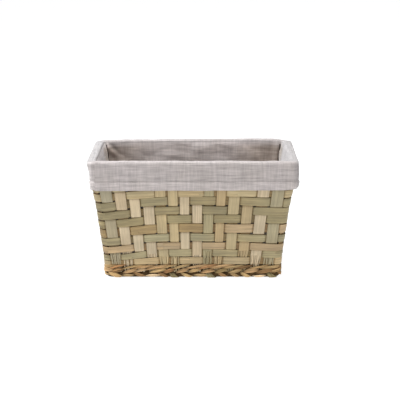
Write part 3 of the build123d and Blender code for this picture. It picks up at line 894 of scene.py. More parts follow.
# ------------------------------------------------------------------ the rim under the liner
def build_rim():
    lo, hi = bx("rim_binding")
    z0, z1 = lo[2], hi[2]
    bld = Build()
    m = 560
    u = cells[0] + np.arange(m) * PER / m
    # flat hoops inside and outside the wall's top edge
    for n, w, t, tn, sd in ((1.62, z1 - z0 - 0.8, 0.8, "tan", 0), (-6.8, z1 - z0 - 0.8, 0.6, "straw", 1)):
        zc = (z0 + z1) / 2 - 0.2 + 0.25 * ring_noise(u, 60.0, 300 + sd)
        P, N = wall(u, zc, n, bowed=False)
        S = np.tile([0, 0, 1.0], (m, 1))
        T = np.roll(P, -1, axis=0) - P
        bld.ribbon(P, N, -S, w, t=t, crown=0.1, closed=True, seed=60 + sd,
                   tint=mixc(LEAF[tn], ring_noise(u, 40.0, 310 + sd), ring_noise(u, 60.0, 320 + sd)), k=7)
    # leaf lashing, one slanting wrap over the rim at each stake gap
    for q in range(NST):
        r = np.random.default_rng(1500 + q)
        path = [(2.35, z0 + 0.6), (2.45, z0 + 3.5), (2.45, z1 - 2.2), (1.9, z1 - 0.6), (0.4, z1 + 0.1), (-2.8, z1 + 0.15),
                (-5.6, z1 + 0.1), (-6.9, z1 - 0.7), (-7.3, z1 - 2.4), (-7.3, z0 + 3.5), (-7.25, z0 + 0.6)]
        pn = np.array([p[0] for p in path])
        pz = np.array([p[1] for p in path])
        d = np.concatenate([[0], np.cumsum(np.hypot(np.diff(pn), np.diff(pz)))])
        s = np.linspace(0, d[-1], 44)
        n, z = np.interp(s, d, pn), np.interp(s, d, pz)
        uu = cells[q] + (s / d[-1] - 0.5) * 9.0 + r.uniform(-0.6, 0.6)
        P, N = wall(uu, z, n, bowed=False)
        T = np.gradient(P, axis=0)
        T /= np.linalg.norm(T, axis=1, keepdims=True)
        dn, dz = np.gradient(n), np.gradient(z)
        l = np.hypot(dn, dz) + 1e-9
        Nv = N * (dz / l)[:, None]
        Nv[:, 2] -= dn / l
        S = np.cross(Nv, T)
        S /= np.linalg.norm(S, axis=1, keepdims=True)
        Nv = np.cross(T, S)
        c = mixc(LEAF["tan"] * r.uniform(0.85, 1.08), noise(s / 8, q, 81), noise(s / 15, q, 82))
        bld.ribbon(P, Nv, S, 6.2 + r.uniform(-0.8, 0.8), t=0.55, crown=0.1, tint=c, seed=q * 0.77, k=5)
    # twisted leaf filler between the hoops
    for k in range(5):
        turns = 26
        ph = 2 * math.pi * (k / 5 + turns * np.arange(m) / m)
        nn, zz = -2.9 + 2.9 * np.cos(ph), (z1 - 1.9) + 1.25 * np.sin(ph)
        P, N = wall(u, zz, nn, bowed=False)
        Nv = N * np.cos(ph)[:, None]
        Nv[:, 2] += 1.6 * np.sin(ph)
        T = np.roll(P, -1, axis=0) - np.roll(P, 1, axis=0)
        T /= np.linalg.norm(T, axis=1, keepdims=True)
        S = np.cross(Nv, T)
        S /= np.linalg.norm(S, axis=1, keepdims=True)
        Nv = np.cross(T, S)
        bld.ribbon(P, Nv, S, 3.4, t=0.7, crown=0.2, closed=True, seed=90 + k, k=5,
                   tint=mixc(LEAF[["olive", "tan", "brown", "straw", "pink"][k]] * 0.9, ring_noise(u, 22.0, 330 + k), ring_noise(u, 50.0, 340 + k)))
    bld.make("rim_binding_leaf", leaf_mat, "basket", "leaf_rim", ["rim_binding"])


build_rim()

# ------------------------------------------------------------------ the cloth liner
NFL, NSD, NAR = 114, 62, 14


def loop_stations():
    """Stations round the liner: (segment, fraction), counter-clockwise from the front-left corner's end."""
    st = []
    for seg, cnt in ((0, NFL), (1, NAR), (2, NSD), (3, NAR), (4, NFL), (5, NAR), (6, NSD), (7, NAR)):
        for k in range(cnt):
            st.append((seg, k / cnt))
    return st


STN = loop_stations()
SEG = np.array([s for s, _ in STN])
FRAC = np.array([f for _, f in STN])
NJ = len(STN)


def rounded(hx, hy, r, z):
    """Ring of points on a rounded rectangle, with outward normals."""
    P = np.zeros((NJ, 3))
    N = np.zeros((NJ, 3))
    P[:, 2] = z
    a, b = hx - r, hy - r
    for s in range(8):
        m = SEG == s
        f = FRAC[m]
        if s == 0:
            P[m, 0], P[m, 1], N[m, 1] = -a + 2 * a * f, -hy, -1
        elif s == 4:
            P[m, 0], P[m, 1], N[m, 1] = a - 2 * a * f, hy, 1
        elif s == 2:
            P[m, 0], P[m, 1], N[m, 0] = hx, -b + 2 * b * f, 1
        elif s == 6:
            P[m, 0], P[m, 1], N[m, 0] = -hx, b - 2 * b * f, -1
        else:
            th = f * math.pi / 2 + {1: -math.pi / 2, 3: 0, 5: math.pi / 2, 7: math.pi}[s]
            cx, cy = (a if s in (1, 3) else -a), (b if s in (3, 5) else -b)
            P[m, 0], P[m, 1] = cx + r * np.cos(th), cy + r * np.sin(th)
            N[m, 0], N[m, 1] = np.cos(th), np.sin(th)
    return P, N


# distance round the cloth, zero at the middle of the front
_ref, _ = rounded(140.0, 80.0, 8.0, 0.0)
_d = np.linalg.norm(np.roll(_ref, -1, axis=0) - _ref, axis=1)
LEN_AROUND = float(_d.sum())
SU = np.concatenate([[0], np.cumsum(_d)[:-1]])
SU = SU - SU[NFL // 2]


def cloth_profile():
    """(v along the cloth, z, kind, t) from the floor seam, up inside, over the rim and down to the hem."""
    z_in = np.concatenate([np.arange(FLOORZ + 0.4, 138.0, 2.6), np.arange(138.0, 171.6, 1.5)])
    pts = [("in", z, 0.0) for z in z_in]
    for k in range(1, 15):
        pts.append(("top", 0.0, k / 15))
    for z in np.concatenate([np.arange(171.6, 149.0, -1.4), np.arange(149.0, CUFFZ + 0.01, -0.9)]):
        pts.append(("cuff", z, 0.0))
    pts.append(("cuff", CUFFZ, 0.0))
    return pts


def ridge(s, z, s0, z0, s1, z1, width, amp):
    """A soft crease or ridge along a segment of the cloth."""
    ds = np.mod(s - s0 + LEN_AROUND / 2, LEN_AROUND) - LEN_AROUND / 2
    dx, dz = s1 - s0, z1 - z0
    l2 = dx * dx + dz * dz
    t = np.clip((ds * dx + (z - z0) * dz) / l2, 0, 1)
    d2 = (ds - t * dx) ** 2 + (z - z0 - t * dz) ** 2
    fade = 0.35 + 0.65 * np.sin(np.clip(t, 0.02, 0.98) * math.pi)
    return amp * fade * np.exp(-d2 / (2 * width * width))


# corners of the cloth, as distances round it
C_FR = 132 + 8 * math.pi / 4
C_BR = C_FR + 8 * math.pi / 2 + 144
C_BL = C_BR + 8 * math.pi / 2 + 264
C_FL = -C_FR

WRINKLES = []
_r = np.random.default_rng(77)
for _ in range(64):                      # long soft vertical and slanting folds on the inner walls
    s0 = _r.uniform(0, LEN_AROUND)
    z0 = _r.uniform(60, 172)
    ln = _r.uniform(18, 60)
    sl = _r.normal(0, 0.38)
    WRINKLES.append((s0, z0, s0 + ln * math.sin(sl), z0 - ln * math.cos(sl), _r.uniform(3.0, 8.0), _r.uniform(-1.1, 1.6)))
for _ in range(26):                      # shallow ones low down
    s0 = _r.uniform(0, LEN_AROUND)
    z0 = _r.uniform(14, 60)
    a_ = _r.uniform(0, math.pi)
    ln = _r.uniform(15, 45)
    WRINKLES.append((s0, z0, s0 + ln * math.cos(a_), z0 + ln * math.sin(a_) * 0.7, _r.uniform(4, 9), _r.uniform(-1.2, 1.4)))
for c in (C_FR, C_BR, C_BL, C_FL):       # gathers that run down from the corners
    for _ in range(4):
        sgn = _r.choice([-1, 1])
        s0 = c + sgn * _r.uniform(2, 12)
        WRINKLES.append((s0, _r.uniform(160, 174), s0 + sgn * _r.uniform(6, 26), _r.uniform(110, 152), _r.uniform(1.8, 3.6), _r.uniform(0.8, 2.4)))
# the pleat that runs down from the back-left corner, and the fold beside it on the left wall
WRINKLES += [(C_BL - 5, 173, C_BL - 10, 163, 1.6, 2.4), (C_BL - 10, 163, C_BL - 20, 154, 2.6, 3.4), (C_BL - 20, 154, C_BL - 30, 140, 4.0, 2.2),
             (C_BL - 11, 172, C_BL - 26, 158, 3.0, -2.4), (C_BL - 34, 158, C_BL - 38, 138, 3.0, -1.6),
             (C_BL + 5.0, 166, C_BL + 5.4, 138, 1.1, 1.0), (C_BL + 18, 160, C_BL + 22, 140, 3.0, 1.4)]
# slack in the back wall: slanting and nearly level folds
for (xa, za, xb, zb, w_, a_) in ((-62, 158, 4, 150, 4.0, 2.2), (-80, 165, -40, 160, 5.0, -1.8), (-10, 164, 26, 158, 5.0, 1.4), (36, 170, 66, 167, 2.4, 1.5),
                                 (60, 160, 104, 151, 5.0, 2.2), (84, 168, 112, 162, 4.0, -1.6), (-30, 171, 0, 169, 2.2, 1.0), (10, 150, 50, 146, 4.0, 1.6),
                                 (-100, 158, -70, 146, 5.0, 1.6)):
    WRINKLES.append(((C_BR + C_BL) / 2 - xa, za, (C_BR + C_BL) / 2 - xb, zb, w_, a_))
CUFF_WR = []
for _ in range(46):
    s0 = _r.uniform(0, LEN_AROUND)
    z0 = _r.uniform(140, 174)
    a_ = _r.normal(math.pi / 2, 0.7)
    ln = _r.uniform(8, 30)
    CUFF_WR.append((s0, z0, s0 + ln * math.cos(a_), z0 - ln * math.sin(a_), _r.uniform(2.2, 6.0), _r.uniform(-0.45, 0.55)))
for c in (C_FR, C_FL, C_BR, C_BL):
    for k in range(4):
        s0 = c + _r.uniform(-13, 13)
        CUFF_WR.append((s0, 174, s0 + _r.uniform(-4, 4), 146, _r.uniform(1.5, 2.8), _r.uniform(-0.6, 0.8)))


def build_liner():
    prof = cloth_profile()
    NI = len(prof)
    P = np.zeros((NI, NJ, 3))
    V = np.zeros(NI)
    Nn = np.zeros((NI, NJ, 3))
    hx_o, hy_o = CUFF_HX - 0.55, CUFF_HY - 0.55
    zt_in, zt_out = 171.6, 171.6
    s = SU
    for i, (kind, z, t) in enumerate(prof):
        if kind == "in":
            hx, hy = A(z) - 8.5, B(z) - 8.5
            p, n = rounded(hx, hy, 5.0, z)
        elif kind == "cuff":
            p, n = rounded(hx_o, hy_o, 12.0, z)
        else:
            # over the rim: a flattened arch from the inner wall to the cuff
            w = t
            th = math.pi * (1 - w)
            e = 0.42
            cx, cz = math.cos(th), math.sin(th)
            ux = math.copysign(abs(cx) ** e, cx)
            hz = cz ** 0.55
            hi_, ho = A(172.0) - 8.5, hx_o
            f = (ux + 1) / 2
            hx = hi_ + (ho - hi_) * f
            hy = (B(172.0) - 8.5) + (hy_o - (B(172.0) - 8.5)) * f
            z = 171.6 + (TOPZ - 0.45 - 171.6) * hz
            p, n = rounded(hx, hy, 5.0 + 7.0 * f, z)
        P[i], Nn[i] = p, n
    d = np.linalg.norm(np.diff(P[:, NFL // 2], axis=0), axis=1)
    V[1:] = np.cumsum(d)
    Z = P[..., 2].copy()
    S2 = np.broadcast_to(s[None], Z.shape)
    is_in = np.array([k == "in" for k, _, _ in prof])
    is_top = np.array([k == "top" for k, _, _ in prof])
    is_cuff = np.array([k == "cuff" for k, _, _ in prof])
    # inner walls: folds and a slack belly; amounts are inwards
    D = np.zeros(Z.shape)
    for wr in WRINKLES:
        D += ridge(S2, Z, *wr)
    # the cloth is drawn tight into a groove at each sewn corner
    for c, dp, sg in ((C_FR, 1.6, 0), (C_BR, 2.2, 1), (C_BL, 1.6, -1), (C_FL, 1.6, 0)):
        dd = np.mod(S2 - c + LEN_AROUND / 2, LEN_AROUND) - LEN_AROUND / 2
        if sg:
            dd = dd * sg                       # positive on the back wall
            D += dp * (np.exp(-((dd - 7.5) / 5.0) ** 2) - 0.5 * np.exp(-((dd - 3.0) / 1.5) ** 2)) * smooth(Z, 14, 40) * (1 - 0.35 * smooth(Z, 166, 174))
        else:
            D += 0.6 * dp * np.exp(-(dd / 7.5) ** 2) * smooth(Z, 14, 40) * (1 - 0.25 * smooth(Z, 168, 174))
    D += 0.7 * noise(S2 / 30.0, Z / 11.0, 404)
    D += 0.9 * noise(S2 / 34.0, Z / 60.0, 401) + 0.5 * noise(S2 / 13.0, Z / 30.0, 402) + 0.22 * noise(S2 / 5.0, Z / 9.0, 403)
    D = D * (0.35 + 0.65 * smooth(Z, 12, 40)) + 0.8 * smooth(Z, 14, 60) * (1 - smooth(Z, 120, 165))
    D = np.clip(D, np.interp(Z, [20, 40, 140, 160], [-0.6, -2.2, -2.2, 0.15]), 7.0)
    k_in = np.where(is_in[:, None], 1.0, 0.0) * np.ones_like(Z)
    fade_top = 1 - smooth(Z, 166.0, 175.0) * 0.55
    P -= Nn * (D * k_in * fade_top)[..., None]
    # the rolled top: small bumps where the cloth is drawn over the rim
    bump = 0.55 * noise(S2 / 19.0, 0.0, 411) + 0.35 * noise(S2 / 7.5, 0.0, 412) + 0.15 * noise(S2 / 3.2, 0.0, 413)
    P[..., 2] += np.where(is_top[:, None], 0.55 * bump - 0.25, 0.0) * np.sin(np.array([t for _, _, t in prof]) * math.pi)[:, None] ** 0.5
    # the back of the rim stands a little proud of the front
    back = smooth(P[..., 1], -60, 75) * (1.9 + 1.1 * P[..., 0] / 145.0)
    for c, a_ in ((C_BR, 3.6), (C_BL, 1.4)):
        dd = np.mod(S2 - c + LEN_AROUND / 2, LEN_AROUND) - LEN_AROUND / 2
        back = back - a_ * np.exp(-(dd / 11.0) ** 2) * (0.35 + 0.65 * np.array([t if k == "top" else (1.0 if k == "cuff" else 0.0) for k, _, t in prof])[:, None])
    P[..., 2] += back * smooth(Z, 150, 172) * (is_in | is_top)[:, None] + back * is_cuff[:, None] * (0.55 + 0.45 * smooth(Z, 140, 172))
    # the cuff
    E = np.zeros(Z.shape)
    for wr in CUFF_WR:
        E += ridge(S2, Z, *wr)
    E += 0.35 * noise(S2 / 42.0, Z / 30.0, 421) + 0.22 * noise(S2 / 14.0, Z / 16.0, 422) + 0.10 * noise(S2 / 5.0, Z / 6.0, 423)
    down = smooth(TOPZ - Z, 2, 40)
    early = smooth(TOPZ - Z, 3, 22)
    # leans in towards the wall by different amounts on each side
    nx, ny = Nn[..., 0], Nn[..., 1]
    LNX, LNY = Nn[-1][:, 0], Nn[-1][:, 1]
    inward = 0.6 * np.clip(nx, 0, 1) ** 2 + 1.4 * np.clip(-ny, 0, 1) ** 2 + 2.2 * np.clip(ny, 0, 1) ** 2
    E -= inward * down + 4.0 * np.clip(-nx, 0, 1) ** 2 * early
    E += 0.8 * np.sin(np.clip((TOPZ - Z) / 40, 0, 1) * math.pi) * (1 - np.clip(-nx, 0, 1) ** 2)    # hangs slightly full
    hem = smooth(-Z, -147.3, -146.4)
    E += 0.75 * hem + (0.75 * np.exp(-((Z - 145.4) / 1.2) ** 2) - 0.70 * np.exp(-((Z - 148.0) / 1.0) ** 2)) * (1 - 0.6 * np.clip(nx, 0, 1))
    E -= 0.9 * hem * np.clip(-nx, 0, 1)
    pucker = np.exp(-((Z - 147.0) / 3.0) ** 2) * (0.22 * noise(S2 / 2.6, 0.0, 431) + 0.18 * noise(S2 / 6.0, 0.0, 432))
    E += pucker
    # lower edge curls under at the corners
    corner = np.zeros_like(s)
    for c, a_ in ((C_FR, 1.0), (C_FL, 0.12), (C_BR, 0.7), (C_BL, 0.6)):
        dd = np.mod(s - c + LEN_AROUND / 2, LEN_AROUND) - LEN_AROUND / 2
        corner += a_ * np.exp(-(dd / 9.0) ** 2)
    curl = smooth(-Z, -(CUFFZ + 4.5), -CUFFZ)
    E += corner[None] * (0.9 * np.exp(-((Z - (CUFFZ + 7.5)) / 4.0) ** 2) - 3.2 * curl ** 1.5)
    P += Nn * (np.where(is_cuff[:, None], E, 0.0))[..., None]
    front_l = np.clip(-LNY, 0, 1) * (0.9 + 1.1 * smooth(-s, 0, 120)) + 1.2 * np.clip(-LNX, 0, 1) * (1 - np.clip(-LNY, 0, 1))
    edge_z = 0.4 * noise(s / 55.0, 0.0, 441) + 0.3 * noise(s / 17.0, 0.0, 442) + 0.5 * corner - front_l * (1 - 0.9 * smooth(s, 10, 130) * np.clip(-LNY, 0, 1))
    P[..., 2] += np.where(is_cuff[:, None], edge_z[None] * smooth(TOPZ - Z, 15, 40), 0.0)
    # mesh
    me = bpy.data.meshes.new("liner_cloth")
    idx = np.arange(NI * NJ).reshape(NI, NJ)
    nxt = np.roll(idx, -1, axis=1)
    faces = np.stack([idx[:-1], nxt[:-1], nxt[1:], idx[1:]], axis=-1).reshape(-1, 4)
    faces = faces[:, ::-1]
    me.from_pydata((P.reshape(-1, 3) * MM).tolist(), [], faces.tolist())
    s_ext = np.concatenate([s, [s[0] + LEN_AROUND]])
    uv = np.zeros((NI - 1, NJ, 4, 2))
    for c_, (di, dj) in enumerate(((0, 0), (0, 1), (1, 1), (1, 0))):
        uv[:, :, c_, 0] = s_ext[dj:NJ + dj][None]
        uv[:, :, c_, 1] = (V[di:NI - 1 + di] if di else V[:NI - 1])[:, None]
    uv = uv[:, :, ::-1, :]
    lay = me.uv_layers.new(name="UVMap")
    lay.data.foreach_set("uv", (uv.reshape(-1, 2) * MM).ravel())
    me.polygons.foreach_set("use_smooth", [True] * len(me.polygons))
    # painted light and shade, held in the 'shade' colour attribute: the back wall is darker and warmer low down and
    # towards its corners (painted shade), the left inner wall lighter (painted light)
    px, py = P[..., 0], P[..., 1]
    backw = smooth(py, 40, 62) * is_in[:, None]
    low = 1 - smooth(Z, 163, 173)
    back_wall_painted_shade = backw * low * (0.25 + 0.75 * smooth(np.abs(px + 8), 45, 118))
    shade = np.ones(Z.shape + (3,))
    shade *= 1 - back_wall_painted_shade[..., None] * np.array([0.30, 0.36, 0.43])
    # painted light: the left inner wall is lightened, more near its top
    left_wall_painted_light = np.clip(-Nn[..., 0], 0, 1) ** 2 * is_in[:, None] * smooth(Z, 100, 140)
    shade *= 1 + left_wall_painted_light[..., None] * (0.62 + 0.55 * smooth(Z, 158, 168))[..., None]
    # painted light: the middle of the back wall is lightened, most near its top
    shade *= 1 + (backw * (0.10 + 0.20 * smooth(Z, 157, 170)) * (1 - smooth(np.abs(px), 85, 120)))[..., None]
    # painted highlight along the back-left pleat and the fold on the left wall, painted shade in the hollow beside the
    # pleat
    for wr, g_ in (((C_BL + 4.2, 170, C_BL + 4.8, 138, 1.5, 1.0), 0.75), ((C_BL - 5, 173, C_BL - 10, 163, 2.0, 1.0), 0.55),
                   ((C_BL - 10, 163, C_BL - 17, 156, 3.0, 1.0), 0.35), ((C_BL - 10, 173, C_BL - 25, 158, 2.6, 1.0), -0.45)):
        shade *= 1 + g_ * ridge(S2, Z, *wr)[..., None] * is_in[:, None, None]
    # painted shade: a dark band beside the seam in each back inner corner
    for c, sg in ((C_BR, 1), (C_BL, -1)):
        dd = (np.mod(S2 - c + LEN_AROUND / 2, LEN_AROUND) - LEN_AROUND / 2) * sg
        shade *= 1 - (0.45 * np.exp(-((dd - 3.4) / 2.6) ** 2) * is_in[:, None] * low)[..., None]
    shade *= 1 + (is_cuff[:, None] * (0.045 * smooth(-Z, -148.2, -146.8) - 0.055 * smooth(Z, 146.8, 149.0)))[..., None]
    # painted shade: the cuff is darkened where it turns to face right, away from the left light
    right_cuff_painted_shade = np.clip(Nn[..., 0], 0, 1) ** 1.5 * is_cuff[:, None]
    shade *= 1 - right_cuff_painted_shade[..., None] * np.array([0.24, 0.22, 0.20])
    # painted light: a cool tint on the rim top and the upper side walls, as from the cool left light
    side_painted_cool_light = np.clip(np.abs(Nn[..., 0]), 0, 1) ** 2 * (is_top[:, None] + is_in[:, None] * smooth(Z, 120, 150))
    shade *= 1 + side_painted_cool_light[..., None] * np.array([-0.01, 0.035, 0.055])
    # painted light: the right inner wall is lightened a little
    right_wall_painted_light = np.clip(Nn[..., 0], 0, 1) ** 2 * is_in[:, None] * smooth(Z, 120, 150)
    shade *= 1 + 0.06 * right_wall_painted_light[..., None]
    # painted highlight along the top of the front rim
    shade *= 1 + 0.09 * (is_top[:, None] * np.clip(-Nn[..., 1], 0, 1))[..., None]
    at = me.attributes.new("shade", 'FLOAT_COLOR', 'POINT')
    at.data.foreach_set("color", np.concatenate([shade.reshape(-1, 3), np.ones((shade.size // 3, 1))], axis=1).ravel())
    me.update()
    ob = bpy.data.objects.new("liner_cloth", me)
    bpy.context.scene.collection.objects.link(ob)
    sol = ob.modifiers.new("cloth_thickness", 'SOLIDIFY')
    sol.thickness = 0.8 * MM
    sol.offset = 0.0
    return ob, P, Nn, is_cuff, V


liner, LP, LN, IS_CUFF, LV = build_liner()


def build_floor_panel():
    """The liner's floor, a separate panel sewn to the walls."""
    z = FLOORZ + 0.3
    hx, hy = A(z) - 8.6, B(z) - 8.6
    out, _ = rounded(hx, hy, 6.5, z)
    step = 4
    out = out[::step]
    nj = len(out)
    rings = []
    for f in np.linspace(1, 0, 20)[:-1]:
        p = out * f
        p[:, 2] = z
        cap = 1 - (1 - f) ** 2
        p[:, 0] = np.sign(out[:, 0]) * np.minimum(np.abs(out[:, 0]), hx) * f
        dist = np.minimum(hx - np.abs(p[:, 0]), hy - np.abs(p[:, 1]))
        p[:, 2] = z + 0.9 * smooth(dist, 0, 10) + smooth(dist, 0, 14) * (0.8 * noise(p[:, 0] / 26, p[:, 1] / 22, 451) + 0.4 * noise(p[:, 0] / 9, p[:, 1] / 11, 452))
        rings.append(p)
    ni = len(rings)
    V = np.concatenate(rings + [np.array([[0, 0, z + 0.9]])])
    faces = []
    for i in range(ni - 1):
        for j in range(nj):
            k = (j + 1) % nj
            faces.append([i * nj + j, i * nj + k, (i + 1) * nj + k, (i + 1) * nj + j])
    c = len(V) - 1
    for j in range(nj):
        faces.append([(ni - 1) * nj + j, (ni - 1) * nj + (j + 1) % nj, c])
    me = bpy.data.meshes.new("liner_floor_cloth")
    me.from_pydata((V * MM).tolist(), [], faces)
    lay = me.uv_layers.new(name="UVMap")
    uv = np.array([[V[vi, 0], V[vi, 1]] for f in faces for vi in f]) * MM
    lay.data.foreach_set("uv", uv.ravel())
    me.polygons.foreach_set("use_smooth", [True] * len(me.polygons))
    at = me.attributes.new("shade", 'FLOAT_COLOR', 'POINT')
    at.data.foreach_set("color", np.tile([0.92, 0.90, 0.87, 1.0], len(V)))
    me.update()
    ob = bpy.data.objects.new("liner_floor_cloth", me)
    bpy.context.scene.collection.objects.link(ob)
    sol = ob.modifiers.new("cloth_thickness", 'SOLIDIFY')
    sol.thickness = 0.8 * MM
    sol.offset = 0.0
    return ob


floor_panel = build_floor_panel()


def cloth_material(name, base=(0.475, 0.432, 0.425), warm=(0.452, 0.408, 0.385), shaded=True):
    """Linen-like plain weave: uneven yarns both ways, slubs, slight fuzz."""
    m, nt, b = new_mat(name)
    x, y = uv_xy(nt)
    yarn_h = noise_node(nt, combine(nt, math_node(nt, 'MULTIPLY', x, 55.0), math_node(nt, 'MULTIPLY', y, 1150.0), 0.0), 1.0, 2.0, 0.6)
    yarn_v = noise_node(nt, combine(nt, math_node(nt, 'MULTIPLY', x, 1150.0), math_node(nt, 'MULTIPLY', y, 55.0), 5.0), 1.0, 2.0, 0.6)
    slub_h = noise_node(nt, combine(nt, math_node(nt, 'MULTIPLY', x, 28.0), math_node(nt, 'MULTIPLY', y, 420.0), 9.0), 1.0, 2.0, 0.5)
    slub_v = noise_node(nt, combine(nt, math_node(nt, 'MULTIPLY', x, 420.0), math_node(nt, 'MULTIPLY', y, 28.0), 13.0), 1.0, 2.0, 0.5)
    cloud = noise_node(nt, combine(nt, math_node(nt, 'MULTIPLY', x, 24.0), math_node(nt, 'MULTIPLY', y, 24.0), 3.0), 1.0, 3.0, 0.5)
    wx = math_node(nt, 'SINE', math_node(nt, 'MULTIPLY', x, 2 * math.pi / 0.0009))
    wy = math_node(nt, 'SINE', math_node(nt, 'MULTIPLY', y, 2 * math.pi / 0.0009))
    weave = math_node(nt, 'MULTIPLY', wx, wy)
    streak = noise_node(nt, combine(nt, math_node(nt, 'MULTIPLY', x, 36.0), math_node(nt, 'MULTIPLY', y, 300.0), 21.0), 1.0, 2.0, 0.5)
    streak_v = noise_node(nt, combine(nt, math_node(nt, 'MULTIPLY', x, 260.0), math_node(nt, 'MULTIPLY', y, 22.0), 27.0), 1.0, 2.0, 0.5)
    f = math_node(nt, 'ADD', ramp(nt, yarn_h, 0.25, 0.75, 0.87, 1.13), ramp(nt, yarn_v, 0.25, 0.75, -0.10, 0.10))
    f = math_node(nt, 'ADD', f, ramp(nt, slub_h, 0.3, 0.75, -0.10, 0.14))
    f = math_node(nt, 'ADD', f, ramp(nt, slub_v, 0.3, 0.75, -0.07, 0.09))
    f = math_node(nt, 'ADD', f, ramp(nt, streak, 0.3, 0.7, -0.13, 0.12))
    f = math_node(nt, 'ADD', f, ramp(nt, streak_v, 0.3, 0.7, -0.07, 0.07))
    f = math_node(nt, 'ADD', f, ramp(nt, weave, -1, 1, -0.03, 0.03))
    col = mix_color(nt, ramp(nt, cloud, 0.35, 0.7, 0.0, 0.55), base, warm)
    col = scale_color(nt, col, f)
    # painted light and shade: the colour is multiplied by the 'shade' attribute
    if shaded:
        col = mix_color(nt, 1.0, col, attr(nt, "shade", "Color"), 'MULTIPLY')
    nt.links.new(col, b.inputs["Base Color"])
    b.inputs["Roughness"].default_value = 0.88
    b.inputs["Specular IOR Level"].default_value = 0.22
    b.inputs["Sheen Weight"].default_value = 0.25
    b.inputs["Sheen Roughness"].default_value = 0.45
    b.inputs["Subsurface Weight"].default_value = 0.0
    h = math_node(nt, 'ADD', math_node(nt, 'MULTIPLY', yarn_h, 0.9), math_node(nt, 'MULTIPLY', yarn_v, 0.8))
    h = math_node(nt, 'ADD', h, math_node(nt, 'MULTIPLY', slub_h, 0.7))
    h = math_node(nt, 'ADD', h, math_node(nt, 'MULTIPLY', weave, 0.35))
    bump = nt.nodes.new("ShaderNodeBump")
    bump.inputs["Strength"].default_value = 0.5
    bump.inputs["Distance"].default_value = 0.0004
    nt.links.new(h, bump.inputs["Height"])
    nt.links.new(bump.outputs[0], b.inputs["Normal"])
    return m


cloth_mat = cloth_material("liner_linen")
liner.data.materials.append(cloth_mat)
floor_panel.data.materials.append(cloth_mat)
SIDES = ("front", "right", "back", "left")
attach(liner, "liner")
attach(floor_panel, "liner")
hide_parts(*["liner_panel_" + s for s in SIDES], *["liner_cuff_" + s for s in SIDES])
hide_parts("liner_floor")


def thread_material():
    m, nt, b = new_mat("thread")
    x, y = uv_xy(nt)
    tw = nt.nodes.new("ShaderNodeTexWave")
    tw.inputs["Scale"].default_value = 900.0
    tw.inputs["Distortion"].default_value = 0.6
    nt.links.new(combine(nt, math_node(nt, 'ADD', x, math_node(nt, 'MULTIPLY', y, 0.6)), 0.0, 0.0), tw.inputs["Vector"])
    col = mix_color(nt, tw.outputs["Fac"], (0.60, 0.57, 0.54), (0.42, 0.39, 0.37))
    nt.links.new(col, b.inputs["Base Color"])
    b.inputs["Roughness"].default_value = 0.7
    bump = nt.nodes.new("ShaderNodeBump")
    bump.inputs["Strength"].default_value = 0.6
    bump.inputs["Distance"].default_value = 0.0001
    nt.links.new(tw.outputs["Fac"], bump.inputs["Height"])
    nt.links.new(bump.outputs[0], b.inputs["Normal"])
    return m


thread_mat = thread_material()


def surface_row(i_rows, z):
    """Cuff surface at height z round the loop: points."""
    rows = np.where(IS_CUFF)[0]
    zz = LP[rows][:, :, 2]
    out = np.zeros((NJ, 3))
    for j in range(NJ):
        col = zz[:, j][::-1]
        for a in range(3):
            out[j, a] = np.interp(z, col, LP[rows][:, j, a][::-1])
    return out


def build_stitches():
    """Row of machine stitches that holds the hem."""
    base = surface_row(None, 147.0)
    loop = np.concatenate([base, base[:1]])
    d = np.concatenate([[0], np.cumsum(np.linalg.norm(np.diff(loop, axis=0), axis=1))])
    total = d[-1]
    cnt = int(total / 3.3)
    nrm = np.concatenate([LN[-1], LN[-1][:1]])
    bld = Build()
    for k in range(cnt):
        a, b_ = (k + 0.14) * total / cnt, (k + 0.86) * total / cnt
        s = np.linspace(a, b_, 7)
        P = np.stack([np.interp(s, d, loop[:, q]) for q in range(3)], axis=1)
        N = np.stack([np.interp(s, d, nrm[:, q]) for q in range(3)], axis=1)
        N /= np.linalg.norm(N, axis=1, keepdims=True)
        arch = np.sin(np.linspace(0, math.pi, 7))
        P = P + N * (0.28 + 0.32 * arch)[:, None]
        P[:, 2] += 0.12 * math.sin(k * 1.7)
        S = np.tile([0, 0, -1.0], (7, 1))
        bld.ribbon(P, N, S, 0.62 * (0.55 + 0.45 * arch), t=0.42 * (0.5 + 0.5 * arch), crown=0.0, k=4, tint=(0.5, 0.48, 0.45), seed=k)
    return bld.make("liner_hem_stitches", thread_mat, "liner", "thread", ["liner_hem_thread"])


stitches = build_stitches()


# painted shade: a real overcast seam, coloured near-black to stand in for the deep shade down the inner corners
seam_shade_mat = cloth_material("seam_overcast_painted_shade", base=(0.060, 0.044, 0.036), warm=(0.042, 0.030, 0.024), shaded=False)


